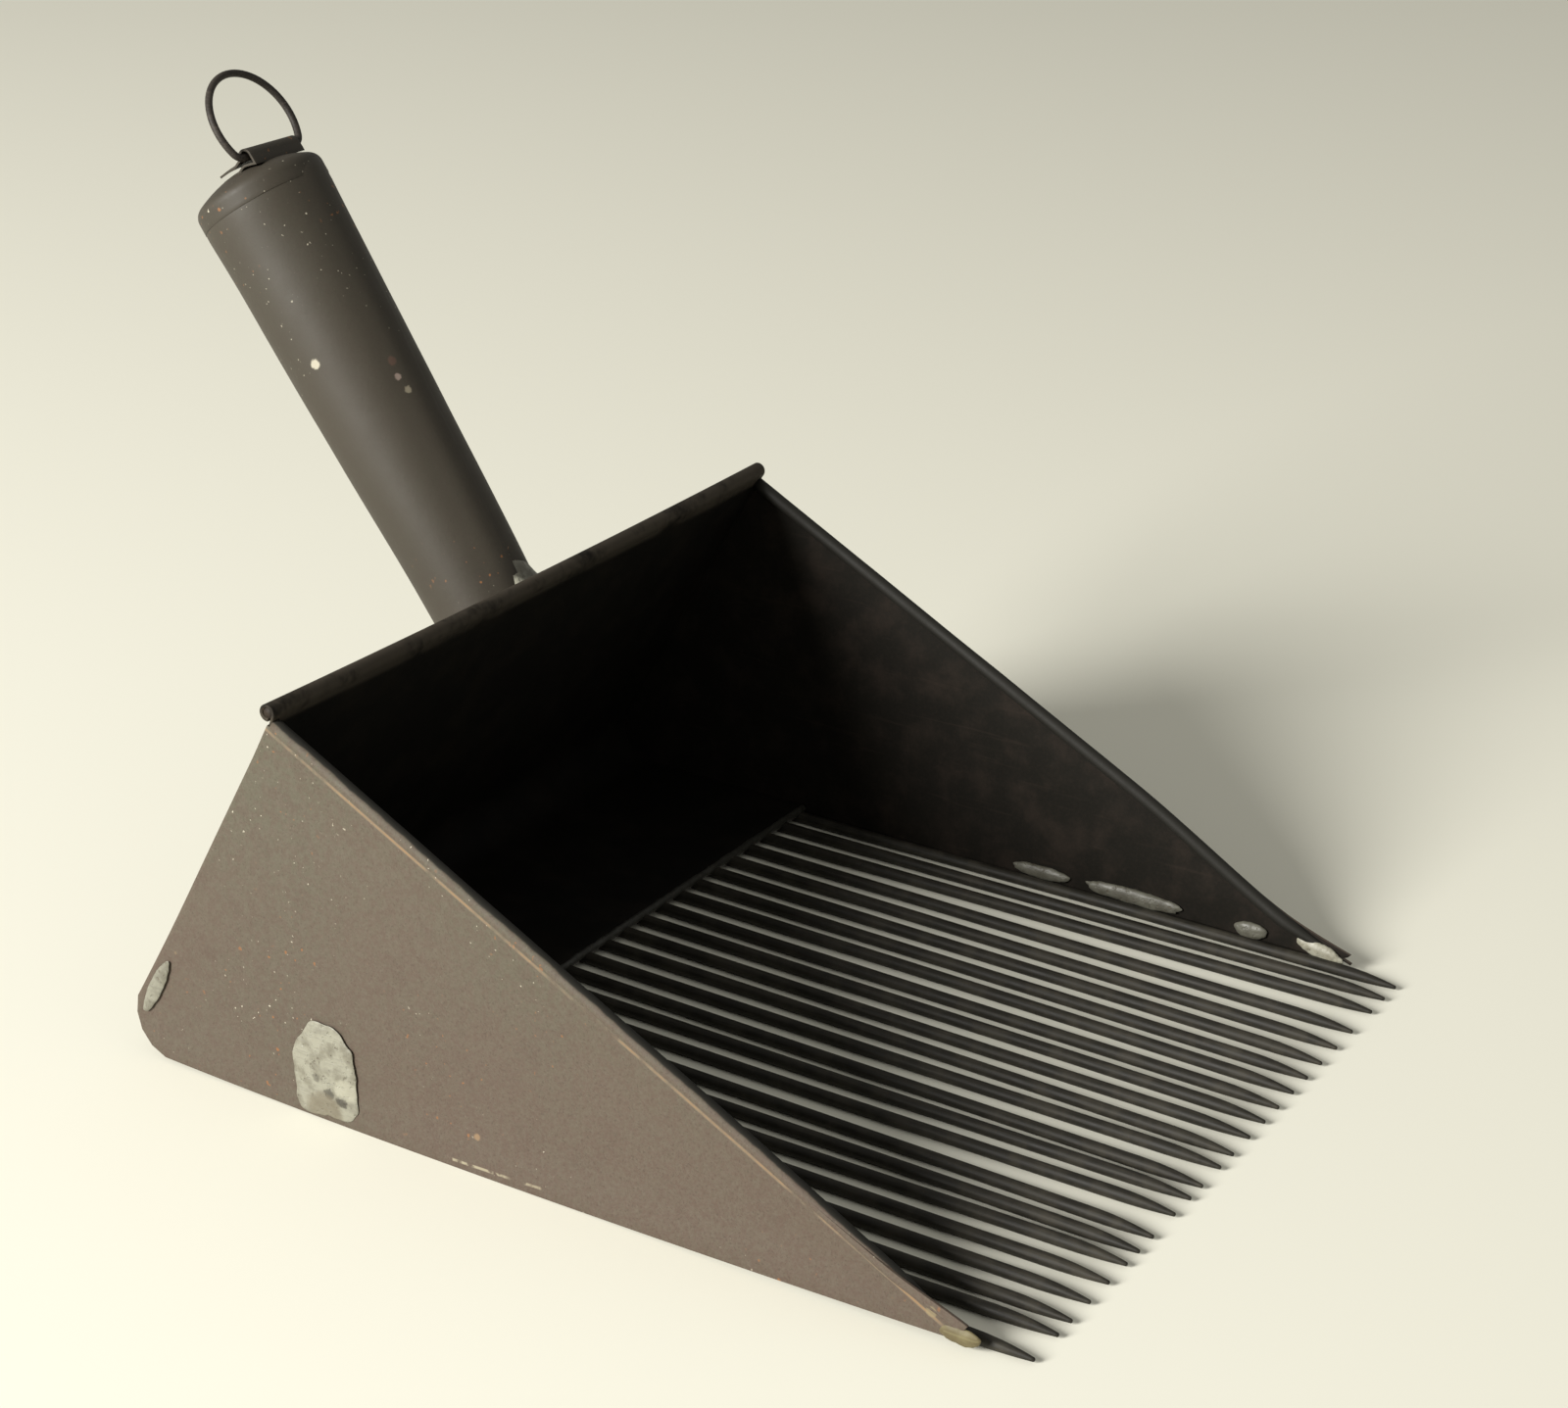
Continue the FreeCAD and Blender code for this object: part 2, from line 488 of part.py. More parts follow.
def dome_body(name, inset):
    """A round-shouldered domed plug, smaller all round by inset, standing on the cap's skirt."""
    body = doc.addObject("PartDesign::Body", f"{name}Body")
    body.Placement = Placement(grip_seat + grip_axis * grip_length, grip_frame.Rotation)
    sketch = new_sketch(body, "XZ_Plane", f"{name}Outline")
    less = size_of("cap_gauge") if inset else 0.0
    radius = cap_radius - less
    round_radius = dome_radius - less
    top = size_of("cap_dome") - less
    skirt = -size_of("cap_skirt")
    edge = top - round_radius + math.sqrt(round_radius ** 2 - radius ** 2)
    crown = Part.Circle(Vector(0, top - round_radius, 0), Vector(0, 0, 1), round_radius)
    edge_turn = math.acos(radius / round_radius)
    sketch.addGeometry(Part.LineSegment(Vector(0, skirt, 0), Vector(radius, skirt, 0)), False)
    sketch.addGeometry(Part.LineSegment(Vector(radius, skirt, 0), Vector(radius, edge, 0)), False)
    sketch.addGeometry(Part.ArcOfCircle(crown, edge_turn, math.pi / 2), False)
    sketch.addGeometry(Part.LineSegment(Vector(0, top, 0), Vector(0, skirt, 0)), False)
    for first, second in ((0, 1), (1, 2), (2, 3), (3, 0)):
        sketch.addConstraint(Sketcher.Constraint("Coincident", first, 2, second, 1))
    sketch.addConstraint(Sketcher.Constraint("Horizontal", 0))
    sketch.addConstraint(Sketcher.Constraint("Vertical", 1))
    sketch.addConstraint(Sketcher.Constraint("PointOnObject", 0, 1, -2))
    sketch.addConstraint(Sketcher.Constraint("PointOnObject", 2, 2, -2))
    sketch.addConstraint(Sketcher.Constraint("PointOnObject", 2, 3, -2))
    outer = "(Sizes.grip_end / 2 + Sizes.cap_gauge)"
    bound(sketch, "skirt", "Sizes.cap_skirt", "DistanceY", 0, 1, -1, 1, -skirt)
    bound(sketch, "wide", f"{outer}{inset}", "DistanceX", 0, 1, 0, 2, radius)
    bound(sketch, "crown", f"Sizes.dome_radius{inset}", "Radius", 2, round_radius)
    bound(sketch, "high", f"Sizes.cap_dome{inset}", "DistanceY", -1, 1, 2, 2, top)
    turned = turn_about_axis(body, sketch, f"{name}Turned")
    doc.recompute()
    rim = []
    for number, curve in enumerate(turned.Shape.Edges, start=1):
        box = curve.BoundBox
        if box.ZLength < gauge / 10 and abs(box.ZMin - edge) < gauge / 10:
            rim.append(f"Edge{number}")
    fillet(body, turned, rim, f"Sizes.cap_shoulder{inset}")
    return body


def make_cap():
    """A cup of thin sheet over the end of the tube, its crown slightly domed."""
    keep("handle_cap", cut("Cap", dome_body("CapOuter", ""), dome_body("CapInner", " - Sizes.cap_gauge")))


def dome_ball(name, extra):
    """The ball that the cap's crown is part of, grown by extra."""
    ball = doc.addObject("Part::Sphere", name)
    drive(ball, Radius=f"Sizes.dome_radius + {extra}")
    ball.Placement = Placement(grip_seat + grip_axis * dome_centre, grip_frame.Rotation)
    return ball


def make_strap():
    """A strip folded round the ring's bar, its two layers soldered down on the crown."""
    half = size_of("strap_width") / 2
    shell = cut("StrapShell", dome_ball("StrapTop", "2 * Sizes.strap_gauge"), dome_ball("StrapBottom", "0"))
    reach = size_of("ring_offset") + size_of("strap_tail")
    corner = Vector(-half, -size_of("ring_offset"), grip_length)
    start = grip_frame.multVec(corner)
    leaf_block = block("LeafBlock", start, (2 * half, reach, grip_base), grip_frame.Rotation)
    drive(leaf_block, Length="Sizes.strap_width", Width="Sizes.ring_offset + Sizes.strap_tail")
    leaf = doc.addObject("Part::Common", "Leaf")
    leaf.Base = shell
    leaf.Tool = leaf_block
    knuckle_start = ring_bar - Vector(half, 0, 0)
    bore_radius = "Sizes.ring_wire / 2 + Sizes.ring_play"
    knuckle = cylinder("Knuckle", knuckle_start, Vector(1, 0, 0), f"{bore_radius} + Sizes.strap_gauge",
                       "Sizes.strap_width")
    bore = cylinder("KnuckleBore", knuckle_start, Vector(1, 0, 0), bore_radius, "Sizes.strap_width")
    keep("hanger_strap", cut("Strap", fuse("StrapFolded", [leaf, knuckle]), bore))


def make_ring():
    """The hanging ring: one wire bent to a straight bar, two corners and a round."""
    body = doc.addObject("PartDesign::Body", "RingBody")
    body.Placement = Placement(ring_bar, grip_frame.Rotation)
    spine = new_sketch(body, "XZ_Plane", "RingPath")
    radius = size_of("ring_radius")
    corner = size_of("ring_corner")
    centre = size_of("ring_rise") - radius
    half_bar = math.sqrt((radius - corner) ** 2 - (centre - corner) ** 2)
    low = math.atan2(corner - centre, half_bar)
    up = Vector(0, 0, 1)
    right = Part.Circle(Vector(half_bar, corner, 0), up, corner)
    left = Part.Circle(Vector(-half_bar, corner, 0), up, corner)
    spine.addGeometry(Part.LineSegment(Vector(-half_bar, 0, 0), Vector(half_bar, 0, 0)), False)
    spine.addGeometry(Part.ArcOfCircle(right, -math.pi / 2, low), False)
    loop = Part.Circle(Vector(0, centre, 0), up, radius)
    spine.addGeometry(Part.ArcOfCircle(loop, low, math.pi - low), False)
    spine.addGeometry(Part.ArcOfCircle(left, math.pi - low, 3 * math.pi / 2), False)
    for first, second in ((0, 1), (1, 2), (2, 3), (3, 0)):
        spine.addConstraint(Sketcher.Constraint("Tangent", first, 2, second, 1))
    spine.addConstraint(Sketcher.Constraint("PointOnObject", 0, 1, -1))
    spine.addConstraint(Sketcher.Constraint("Horizontal", 0))
    spine.addConstraint(Sketcher.Constraint("PointOnObject", 2, 3, -2))
    spine.addConstraint(Sketcher.Constraint("Equal", 1, 3))
    bound(spine, "corner", "Sizes.ring_corner", "Radius", 1, corner)
    bound(spine, "round", "Sizes.ring_radius", "Radius", 2, radius)
    bound(spine, "centre", "Sizes.ring_rise - Sizes.ring_radius", "DistanceY", -1, 1, 2, 3, centre)
    section = new_sketch(body, "YZ_Plane", "RingSection")
    section.addGeometry(Part.Circle(Vector(0, 0, 0), up, size_of("ring_wire") / 2), False)
    section.addConstraint(Sketcher.Constraint("Coincident", 0, 3, -1, 1))
    bound(section, "wire", "Sizes.ring_wire", "Diameter", 0, size_of("ring_wire"))
    pipe = body.newObject("PartDesign::AdditivePipe", "RingPipe")
    pipe.Profile = section
    pipe.Spine = (spine, ["Edge1", "Edge2", "Edge3", "Edge4"])
    keep("hanging_ring", body)


# ---------------------------------------------------------------- solder
def solder_lump(name, centre, half_sizes, rotation=Rotation()):
    """An egg-shaped lump; half_sizes are along X, Y and Z before it is turned by rotation."""
    lump = doc.addObject("Part::Ellipsoid", name)
    lump.Radius2, lump.Radius3, lump.Radius1 = half_sizes
    lump.Placement = Placement(centre, rotation)
    return lump


def beside_plate(side, name):
    """A block that fills everything on the pan's side of a plate's outer face."""
    start = -width / 2 if side == "left" else -2 * width + width / 2
    return block(name, Vector(start, -width, -width), (2 * width, 3 * width, 3 * width))


def make_tine_solder():
    """The bead along the floor's front edge that holds every tine."""
    tines = fuse("AllTines", [parts[f"tine_{number:02d}"] for number in range(1, TINE_COUNT + 1)])
    reach = size_of("floor_front") - size_of("bead_step")
    start = FRONT + Vector(-width / 2 + gauge, reach, tine_wire - size_of("bead_sunk"))
    bead = cylinder("TineBead", start, Vector(1, 0, 0), "Sizes.bead_radius",
                    "Sizes.pan_width - 2 * Sizes.sheet_gauge")
    keep("tine_solder", cut_all("TineBeadShaped", bead, [tines, parts["pan_sheet"]]))


def lump_sizes(name):
    """Half sizes of a lump of plate solder along X, Y and Z."""
    return [size_of(f"{name}_solder_{way}") for way in ("thick", "half", "high")]


def make_heel_and_nose_solder(side, sign, outer_tine):
    """Solder at one plate's heel, wiped on its outer face, and round its nose to the outer tine."""
    face = FRONT + Vector(sign * width / 2, 0, 0)
    facing = Rotation(Vector(0, 0, 1), 90 + sign * 90)
    heel_middle = face + Vector(0, size_of("heel_solder_reach"), size_of("heel_solder_rise"))
    heel_patch = solder_lump(f"{side}_heel", heel_middle, lump_sizes("heel"), facing)
    pan_side = beside_plate(side, f"{side}_heel_trim")
    keep(f"{side}_heel_solder", cut(f"{side}_heel_patch", heel_patch, pan_side))
    nose_reach = size_of("nose_reach") + size_of("nose_solder_back")
    nose_middle = face + Vector(-sign * size_of("nose_solder_inset"), nose_reach, size_of("nose_solder_rise"))
    nose_patch = solder_lump(f"{side}_nose", nose_middle, lump_sizes("nose"), facing)
    nose_tools = [parts[f"{side}_side_plate"], parts[outer_tine]]
    keep(f"{side}_nose_solder", cut_all(f"{side}_nose_patch", nose_patch, nose_tools))


def make_corner_solder():
    """A smear on the left plate, low on its back edge."""
    up_back = along_back * size_of("corner_solder_up") - off_back * size_of("corner_solder_in")
    middle = heel + up_back - Vector(width / 2, 0, 0)
    lean_turn = Rotation(Vector(1, 0, 0), size_of("back_lean"))
    smear = solder_lump("left_corner", middle, lump_sizes("corner"), lean_turn)
    keep("left_corner_solder", cut("left_corner_patch", smear, beside_plate("left", "left_corner_trim")))


def make_seam_solder():
    """Three lumps between the right plate and its tine."""
    tools = [parts["right_side_plate"], parts["tine_24"]]
    across = width / 2 - gauge - size_of("seam_solder_inset")
    for number, length in ((1, "seam_short"), (2, "seam_long"), (3, "seam_short")):
        centre = FRONT + Vector(across, size_of(f"seam_lump_{number}"), tine_wire - size_of("bead_sunk"))
        half_sizes = (size_of("seam_solder_thick"), size_of(length), size_of("seam_solder_high"))
        lump = solder_lump(f"right_seam_{number}", centre, half_sizes)
        keep(f"right_seam_solder_{number}", cut_all(f"right_seam_patch_{number}", lump, tools))


make_pan()
make_side_plate("left")
make_side_plate("right")
for tine_number in range(1, TINE_COUNT + 1):
    make_tine(tine_number)
make_handle_tube()
make_foot_solder()
make_cap()
make_strap()
make_ring()
make_tine_solder()
make_heel_and_nose_solder("left", -1, "tine_01")
make_heel_and_nose_solder("right", 1, "tine_24")
make_corner_solder()
make_seam_solder()
doc.recompute()

# ---------------------------------------------------------------- checks and files
for thing in doc.Objects:
    if "Invalid" in thing.State or "Error" in thing.State:
        raise RuntimeError(f"{thing.Label} failed to build")
for node, thing in parts.items():
    if thing.Shape.isNull() or not thing.Shape.isValid():
        raise RuntimeError(f"{node} has no valid shape")

os.makedirs("parts", exist_ok=True)
for node, thing in parts.items():
    thing.Shape.exportStep(f"parts/{node}.step")
print(len(parts), "sub-parts written")
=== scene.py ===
# %% [markdown]
# # A tinned berry scoop
# The real object is a hand-made tool for combing berries off low bushes. A bent sheet makes the
# floor and the back, two side plates close it, two dozen pointed wires carry on where the floor
# stops, and a tapered tube with a hanging ring is the handle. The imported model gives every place
# and size, so this lesson starts by loading it, and then makes each piece as a tinsmith would:
# rolled edges, drawn wire, lapped seams and wiped solder.

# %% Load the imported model
import json
import math
import bmesh
import bpy
from mathutils import Matrix, Vector, noise


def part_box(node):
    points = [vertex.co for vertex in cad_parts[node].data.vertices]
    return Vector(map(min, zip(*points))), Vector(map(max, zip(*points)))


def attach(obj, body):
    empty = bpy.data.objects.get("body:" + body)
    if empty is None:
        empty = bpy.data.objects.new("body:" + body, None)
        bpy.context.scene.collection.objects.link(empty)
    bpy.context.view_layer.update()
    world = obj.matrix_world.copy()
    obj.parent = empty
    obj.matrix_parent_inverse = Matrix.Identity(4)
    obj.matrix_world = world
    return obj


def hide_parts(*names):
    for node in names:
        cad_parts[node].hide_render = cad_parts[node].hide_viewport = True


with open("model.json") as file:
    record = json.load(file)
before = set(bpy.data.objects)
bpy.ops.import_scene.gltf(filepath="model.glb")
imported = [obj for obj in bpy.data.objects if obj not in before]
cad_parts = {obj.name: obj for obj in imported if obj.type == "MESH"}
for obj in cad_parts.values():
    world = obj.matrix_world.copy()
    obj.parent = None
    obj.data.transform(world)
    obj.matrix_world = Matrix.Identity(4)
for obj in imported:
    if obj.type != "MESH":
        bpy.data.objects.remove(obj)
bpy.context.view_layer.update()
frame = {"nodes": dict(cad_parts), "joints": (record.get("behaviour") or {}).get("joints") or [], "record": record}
MM = 0.001

# %% [markdown]
# ## Places that the pieces share
# A rolled edge, a plate and the handle have to meet, so their common lines are worked out once
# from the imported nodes: the centre line of the back's roll, the plane of the back, the line of the
# side rolls, and the handle's axis. Only thicknesses and angles are written down as numbers.

# %% Shared lines and planes
GAUGE = 0.7 * MM
BACK_LEAN = math.radians(27.6)
SIDE_SLOPE = math.radians(27.0)
X_AXIS = Vector((1, 0, 0))
along_back = Vector((0, -math.sin(BACK_LEAN), math.cos(BACK_LEAN)))
off_back = Vector((0, math.cos(BACK_LEAN), math.sin(BACK_LEAN)))
along_side = Vector((0, math.cos(SIDE_SLOPE), math.sin(SIDE_SLOPE)))
off_side = Vector((0, -math.sin(SIDE_SLOPE), math.cos(SIDE_SLOPE)))


def middle_of(node):
    low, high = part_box(node)
    return (low + high) / 2


def size_of(node):
    low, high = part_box(node)
    return high - low


half_width = size_of("pan_sheet").x / 2
back_roll = middle_of("back_edge_wire")
back_roll_radius = size_of("back_edge_wire").z / 2 + GAUGE
back_face = back_roll - off_back * (back_roll_radius - GAUGE)
floor_front, floor_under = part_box("pan_sheet")[0].yz
nose_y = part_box("left_side_plate")[0].y

ring_joint = frame["joints"][0]
ring_bar = Vector(ring_joint["pos_m"])
eye = next(mount for mount in frame["record"]["mounts"] if mount["name"] == "ring_eye")
grip_front = Vector(eye["axis"])
grip_axis = Vector((0, grip_front.z, -grip_front.y))
RING_OFFSET = 8.7 * MM
on_axis = ring_bar - grip_front * RING_OFFSET
seat_depth = (on_axis - back_face).dot(off_back) / grip_axis.dot(off_back)
grip_seat = on_axis - grip_axis * seat_depth
grip_frame = Matrix.Translation(grip_seat) @ Matrix((X_AXIS, -grip_front, grip_axis)).transposed().to_4x4()
print("handle seat", [round(v, 4) for v in grip_seat], "bar at", round(seat_depth, 4))

# %% [markdown]
# ## Small tools for the bench
# Sheet metal is drawn as a thin outline first, straight runs and round turns, and then drawn out
# sideways. In bmesh a single vertex can be pushed along by extruding it, and `spin` both turns it
# round a centre and, with an angle of zero, steps a whole outline along a line. A little smooth
# noise on the vertices then takes away the look of a machine.

# %% Outline and finishing helpers
class Outline:
    """A chain of edges that grows from its last vertex."""

    def __init__(self, start):
        self.mesh = bmesh.new()
        self.tip = self.mesh.verts.new(start)

    def run(self, end, steps=1):
        """A straight run to a point."""
        step = (Vector(end) - self.tip.co) / steps
        for _ in range(steps):
            self.tip = bmesh.ops.extrude_vert_indiv(self.mesh, verts=[self.tip])["verts"][0]
            self.tip.co += step
        return self

    def turn(self, centre, angle, steps, axis=X_AXIS):
        """A round turn about a centre."""
        made = bmesh.ops.spin(self.mesh, geom=[self.tip], cent=centre, axis=axis, angle=angle, steps=steps)
        self.tip = made["geom_last"][0]
        return self

    def draw_out(self, step, steps):
        """The whole outline carried along a line, which makes a sheet."""
        whole = self.mesh.verts[:] + self.mesh.edges[:]
        bmesh.ops.spin(self.mesh, geom=whole, cent=(0, 0, 0), axis=X_AXIS, angle=0, dvec=step, steps=steps)
        return self.mesh

    def spin_round(self, centre, axis, steps):
        """A full turn of the outline, closed on itself."""
        whole = self.mesh.verts[:] + self.mesh.edges[:]
        bmesh.ops.spin(self.mesh, geom=whole, cent=centre, axis=axis, angle=math.tau, steps=steps, use_merge=True)
        bmesh.ops.remove_doubles(self.mesh, verts=self.mesh.verts, dist=0.001 * MM)
        return self.mesh


def trim(mesh, point, normal):
    """Cut away what lies beyond a plane, on the side that the normal points to."""
    whole = mesh.verts[:] + mesh.edges[:] + mesh.faces[:]
    bmesh.ops.bisect_plane(mesh, geom=whole, dist=0.0001 * MM, plane_co=point, plane_no=normal, clear_outer=True)


def wobble(place, size, seed):
    """Smooth noise between about -1 and 1, with bumps of roughly that size."""
    return noise.noise(place / size + Vector((seed * 7.3, seed * 3.1, seed * 5.7)))


def smooth_step(low, high, value):
    share = min(max((value - low) / (high - low), 0.0), 1.0)
    return share * share * (3 - 2 * share)


def make_piece(name, mesh, finishes, node, body="scoop", turned=False):
    """Turn a bmesh into a smooth-shaded object that rides on a body and stands for a CAD node."""
    if turned:
        bmesh.ops.recalc_face_normals(mesh, faces=mesh.faces)
    for face in mesh.faces:
        face.smooth = True
    data = bpy.data.meshes.new(name)
    mesh.to_mesh(data)
    mesh.free()
    for finish in finishes:
        data.materials.append(finish)
    piece = bpy.data.objects.new(name, data)
    bpy.context.scene.collection.objects.link(piece)
    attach(piece, body)
    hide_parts(node)
    return piece


def thicken(piece, thickness):
    """Give a sheet its thickness, behind its front face, and ease its cut edges.

    The far side takes the piece's last finish, and the cut edges keep the first.
    """
    wall = piece.modifiers.new("Wall", "SOLIDIFY")
    wall.thickness = thickness
    wall.offset = -1.0
    wall.use_even_offset = True
    wall.material_offset = len(piece.data.materials) - 1
    ease = piece.modifiers.new("Eased edges", "BEVEL")
    ease.width = 0.15 * MM
    ease.segments = 2
    ease.limit_method = "ANGLE"
    ease.angle_limit = math.radians(50)
    return piece


# %% [markdown]
# ## Writing a finish as arithmetic
# A finish is a small tree of shader nodes. Wired by hand it is hard to read, so one class wraps a
# socket and lets plain Python arithmetic add the Math nodes: `1 - mask * 0.5` is a real formula.
# Colours go through a Mix node instead, because a Math node would turn them grey. Every pattern is
# read from Object coordinates, and so it stays put on its piece.

# %% Shader arithmetic
class Value:
    """A socket of a finish; arithmetic on it adds Math nodes."""

    def __init__(self, finish, socket):
        self.finish = finish
        self.socket = socket

    def math(self, operation, *others):
        node = self.finish.node("ShaderNodeMath", {"operation": operation}, dict(enumerate((self, *others))))
        return Value(self.finish, node.outputs[0])

    def __add__(self, other):
        return self.math("ADD", other)

    def __sub__(self, other):
        return self.math("SUBTRACT", other)

    def __rsub__(self, other):
        return (self * -1) + other

    def __mul__(self, other):
        return self.math("MULTIPLY", other)

    __radd__ = __add__
    __rmul__ = __mul__

    def step(self, low, high):
        """0 below low, 1 above high, smooth between; the other way round if high is the lower."""
        settings = {"interpolation_type": "SMOOTHSTEP"}
        reach = {"Value": self, "From Min": min(low, high), "From Max": max(low, high)}
        node = self.finish.node("ShaderNodeMapRange", settings, reach)
        risen = Value(self.finish, node.outputs["Result"])
        return risen if high > low else 1 - risen


class Finish:
    """A material, built node by node."""

    def __init__(self, name, **constants):
        self.material = bpy.data.materials.new(name)
        self.material.use_nodes = True
        self.tree = self.material.node_tree
        self.shader = self.tree.nodes["Principled BSDF"]
        for socket, value in constants.items():
            self.shader.inputs[socket.replace("_", " ")].default_value = value
        coordinates = self.node("ShaderNodeTexCoord", {}, {})
        self.place = Value(self, coordinates.outputs["Object"])
        split = self.node("ShaderNodeSeparateXYZ", {}, {0: self.place})
        self.x, self.y, self.z = (Value(self, output) for output in split.outputs)

    def node(self, kind, settings, values):
        """Any node: its settings first, and then the values or links of its sockets."""
        node = self.tree.nodes.new(kind)
        for name, setting in settings.items():
            setattr(node, name, setting)
        for socket, value in values.items():
            if isinstance(value, Value):
                self.tree.links.new(value.socket, node.inputs[socket])
            else:
                node.inputs[socket].default_value = value
        return node

    def stretched(self, scale, turn=(0, 0, 0)):
        """Object coordinates turned and then stretched, for streaks and scratches."""
        node = self.node("ShaderNodeMapping", {}, {"Vector": self.place, "Rotation": turn, "Scale": scale})
        return Value(self, node.outputs[0])

    def grain(self, size, detail=2.0, rough=0.5, place=None, lumpy=0.0):
        """Noise from 0 to 1 whose features are about that size."""
        values = {"Vector": place or self.place, "Scale": 1 / size, "Detail": detail, "Roughness": rough,
                  "Distortion": lumpy}
        return Value(self, self.node("ShaderNodeTexNoise", {}, values).outputs["Fac"])

    def distance(self, point):
        """Distance from a point on the piece."""
        settings = {"operation": "DISTANCE"}
        node = self.node("ShaderNodeVectorMath", settings, {0: self.place, 1: tuple(point)})
        return Value(self, node.outputs["Value"])

    def along(self, direction, origin):
        """Distance along a direction from a point."""
        settings = {"operation": "DOT_PRODUCT"}
        node = self.node("ShaderNodeVectorMath", settings, {0: self.place, 1: tuple(direction)})
        return Value(self, node.outputs["Value"]) - Vector(direction).dot(origin)

    def mix(self, share, first, second):
        """One colour over another, by a share."""
        node = self.node("ShaderNodeMix", {"data_type": "RGBA"}, {0: share, 6: first, 7: second})
        return Value(self, node.outputs[2])

    def close(self, colour, roughness, bump, bump_depth, metallic=None):
        """Link the parts that change over the surface, and hand over the material."""
        values = {"Height": bump, "Distance": bump_depth, "Strength": 1.0}
        raised = self.node("ShaderNodeBump", {}, values)
        links = {"Base Color": colour, "Roughness": roughness, "Metallic": metallic}
        for socket, value in links.items():
            if value is not None:
                self.tree.links.new(value.socket, self.shader.inputs[socket])
        self.tree.links.new(raised.outputs[0], self.shader.inputs["Normal"])
        return self.material


def rgb(red, green, blue):
    return (red, green, blue, 1.0)


TAUPE = rgb(0.085, 0.063, 0.046)
OLIVE = rgb(0.078, 0.070, 0.048)
UMBER = rgb(0.055, 0.036, 0.026)
# The next colour is painted shade: the near-black that the inside of the scoop is painted with.
INSIDE_SHADE = rgb(0.0060, 0.0055, 0.0045)
RUST = rgb(0.190, 0.085, 0.035)
PALE = rgb(0.40, 0.37, 0.29)


# %% [markdown]
# ## Old tinned sheet
# The tin has dulled to a warm grey-brown with a fine speckle, greener high on the plates and
# redder low down, with freckles of rust and bright scratches where it rubs. The inside of the
# scoop is painted almost black, as painted shade. One function makes this finish for every sheet
# piece; what differs, such as the marks and the painted shade over the rolled edges, comes in as a mask.

# %% The sheet finish
def freckle(finish, colour, tone, size, amount, seed):
    """Scattered specks of a tone."""
    shifted = finish.stretched((1, 1, 1))
    specks = finish.grain(size, 1.0, 0.5, place=shifted).step(0.74 - amount, 0.78 - amount)
    patches = finish.grain(size * seed, 1.0).step(0.45, 0.65)
    return finish.mix(specks * patches, colour, tone)


def old_tin(name, dark=None, marks=(), shine=0.42, deep=1.0):
    finish = Finish(name, IOR=1.5, Specular_IOR_Level=0.30)
    broad = finish.grain(60 * MM, 2.0)
    cloud = finish.grain(9 * MM, 4.0, 0.6)
    speckle = finish.grain(0.8 * MM, 3.0, 0.7)
    tint = finish.grain(1.7 * MM, 2.0, 0.6)
    height = finish.z.step(15 * MM, 85 * MM)
    colour = finish.mix((broad.step(0.35, 0.65) * 0.5 + height * 0.5), TAUPE, OLIVE)
    colour = finish.mix(cloud.step(0.52, 0.75) * 0.30, colour, UMBER)
    colour = finish.mix(tint.step(0.40, 0.60) * 0.35, colour, rgb(0.076, 0.045, 0.035))
    colour = finish.mix(speckle.step(0.35, 0.75) * 0.42, colour, rgb(0.115, 0.098, 0.075))
    colour = finish.mix(finish.grain(0.5 * MM, 2.0).step(0.56, 0.70) * 0.45, colour, rgb(0.043, 0.031, 0.022))
    colour = finish.mix(1 - deep, colour, rgb(0.035, 0.030, 0.022))
    colour = freckle(finish, colour, RUST, 1.6 * MM, 0.02, 21)
    colour = freckle(finish, colour, PALE, 0.9 * MM, 0.0, 33)
    for mask, tone, share in (mark(finish) for mark in marks):
        colour = finish.mix(mask * share, colour, tone)
    roughness = cloud * 0.22 + speckle * 0.12 + shine
    # The dark mask paints near-black painted shade over the part it covers.
    if dark is not None:
        colour = finish.mix(dark(finish), colour, rgb(0.012, 0.011, 0.008))
    bump = cloud * 0.35 + speckle * 0.08 + finish.grain(25 * MM) * 1.2
    return finish.close(colour, roughness, bump, 0.25 * MM)


# %% [markdown]
# The inside of the scoop is painted nearly black on every sheet, as painted shade, so each sheet
# piece gets two finishes, one for each side, and the modifier that makes its thickness hands out
# the second. A few marks are placed one by one: the rust spot and the scratches on the left plate,
# the painted highlight stripe under its rolled edge, and the chips on the handle.

# %% Painted shade for the inside, and marks
def shaded_and_scuffed_tin(name, dark, brown, brown_share=0.35, shine=0.5, marks=()):
    """The inside of the scoop: painted nearly black as painted shade, with a brown cast in places."""
    finish = Finish(name, IOR=1.45, Specular_IOR_Level=0.10)
    cloud = finish.grain(11 * MM, 4.0, 0.6)
    speckle = finish.grain(0.9 * MM, 3.0, 0.7)
    colour = finish.mix(cloud.step(0.42, 0.72) * brown_share + speckle.step(0.4, 0.8) * 0.2, dark, brown)
    scuffs = finish.grain(1.4 * MM, 2.0, 0.6, place=finish.stretched((1, 0.05, 1))).step(0.62, 0.72)
    colour = finish.mix(scuffs * 0.25, colour, brown)
    for mask, tone, share in (mark(finish) for mark in marks):
        colour = finish.mix(mask * share, colour, tone)
    return finish.close(colour, cloud * 0.2 + speckle * 0.1 + shine, cloud + speckle * 0.1, 0.2 * MM)


def roll_tops_painted_shade(finish):
    """A mask of painted shade over the rolled edges, apart from a strip along their outer shoulders."""
    uneven = (finish.grain(6 * MM, 3.0) - 0.5) * (0.9 * MM)
    inner = half_width - 0.55 * MM
    blur = 0.22 * MM
    return (finish.x - uneven).step(-inner - blur, -inner + blur) * (finish.x + uneven).step(inner + blur, inner - blur)


def spot(point, radius, tone, share, ragged=0.5):
    """A ragged round mark at a point."""
    def mark(finish):
        torn = finish.grain(radius * 0.8, 3.0, 0.7) * (radius * ragged)
        mask = (finish.distance(point) + torn).step(radius * (1.15 + ragged * 0.5), radius * (0.75 + ragged * 0.5))
        return mask, tone, share
    return mark


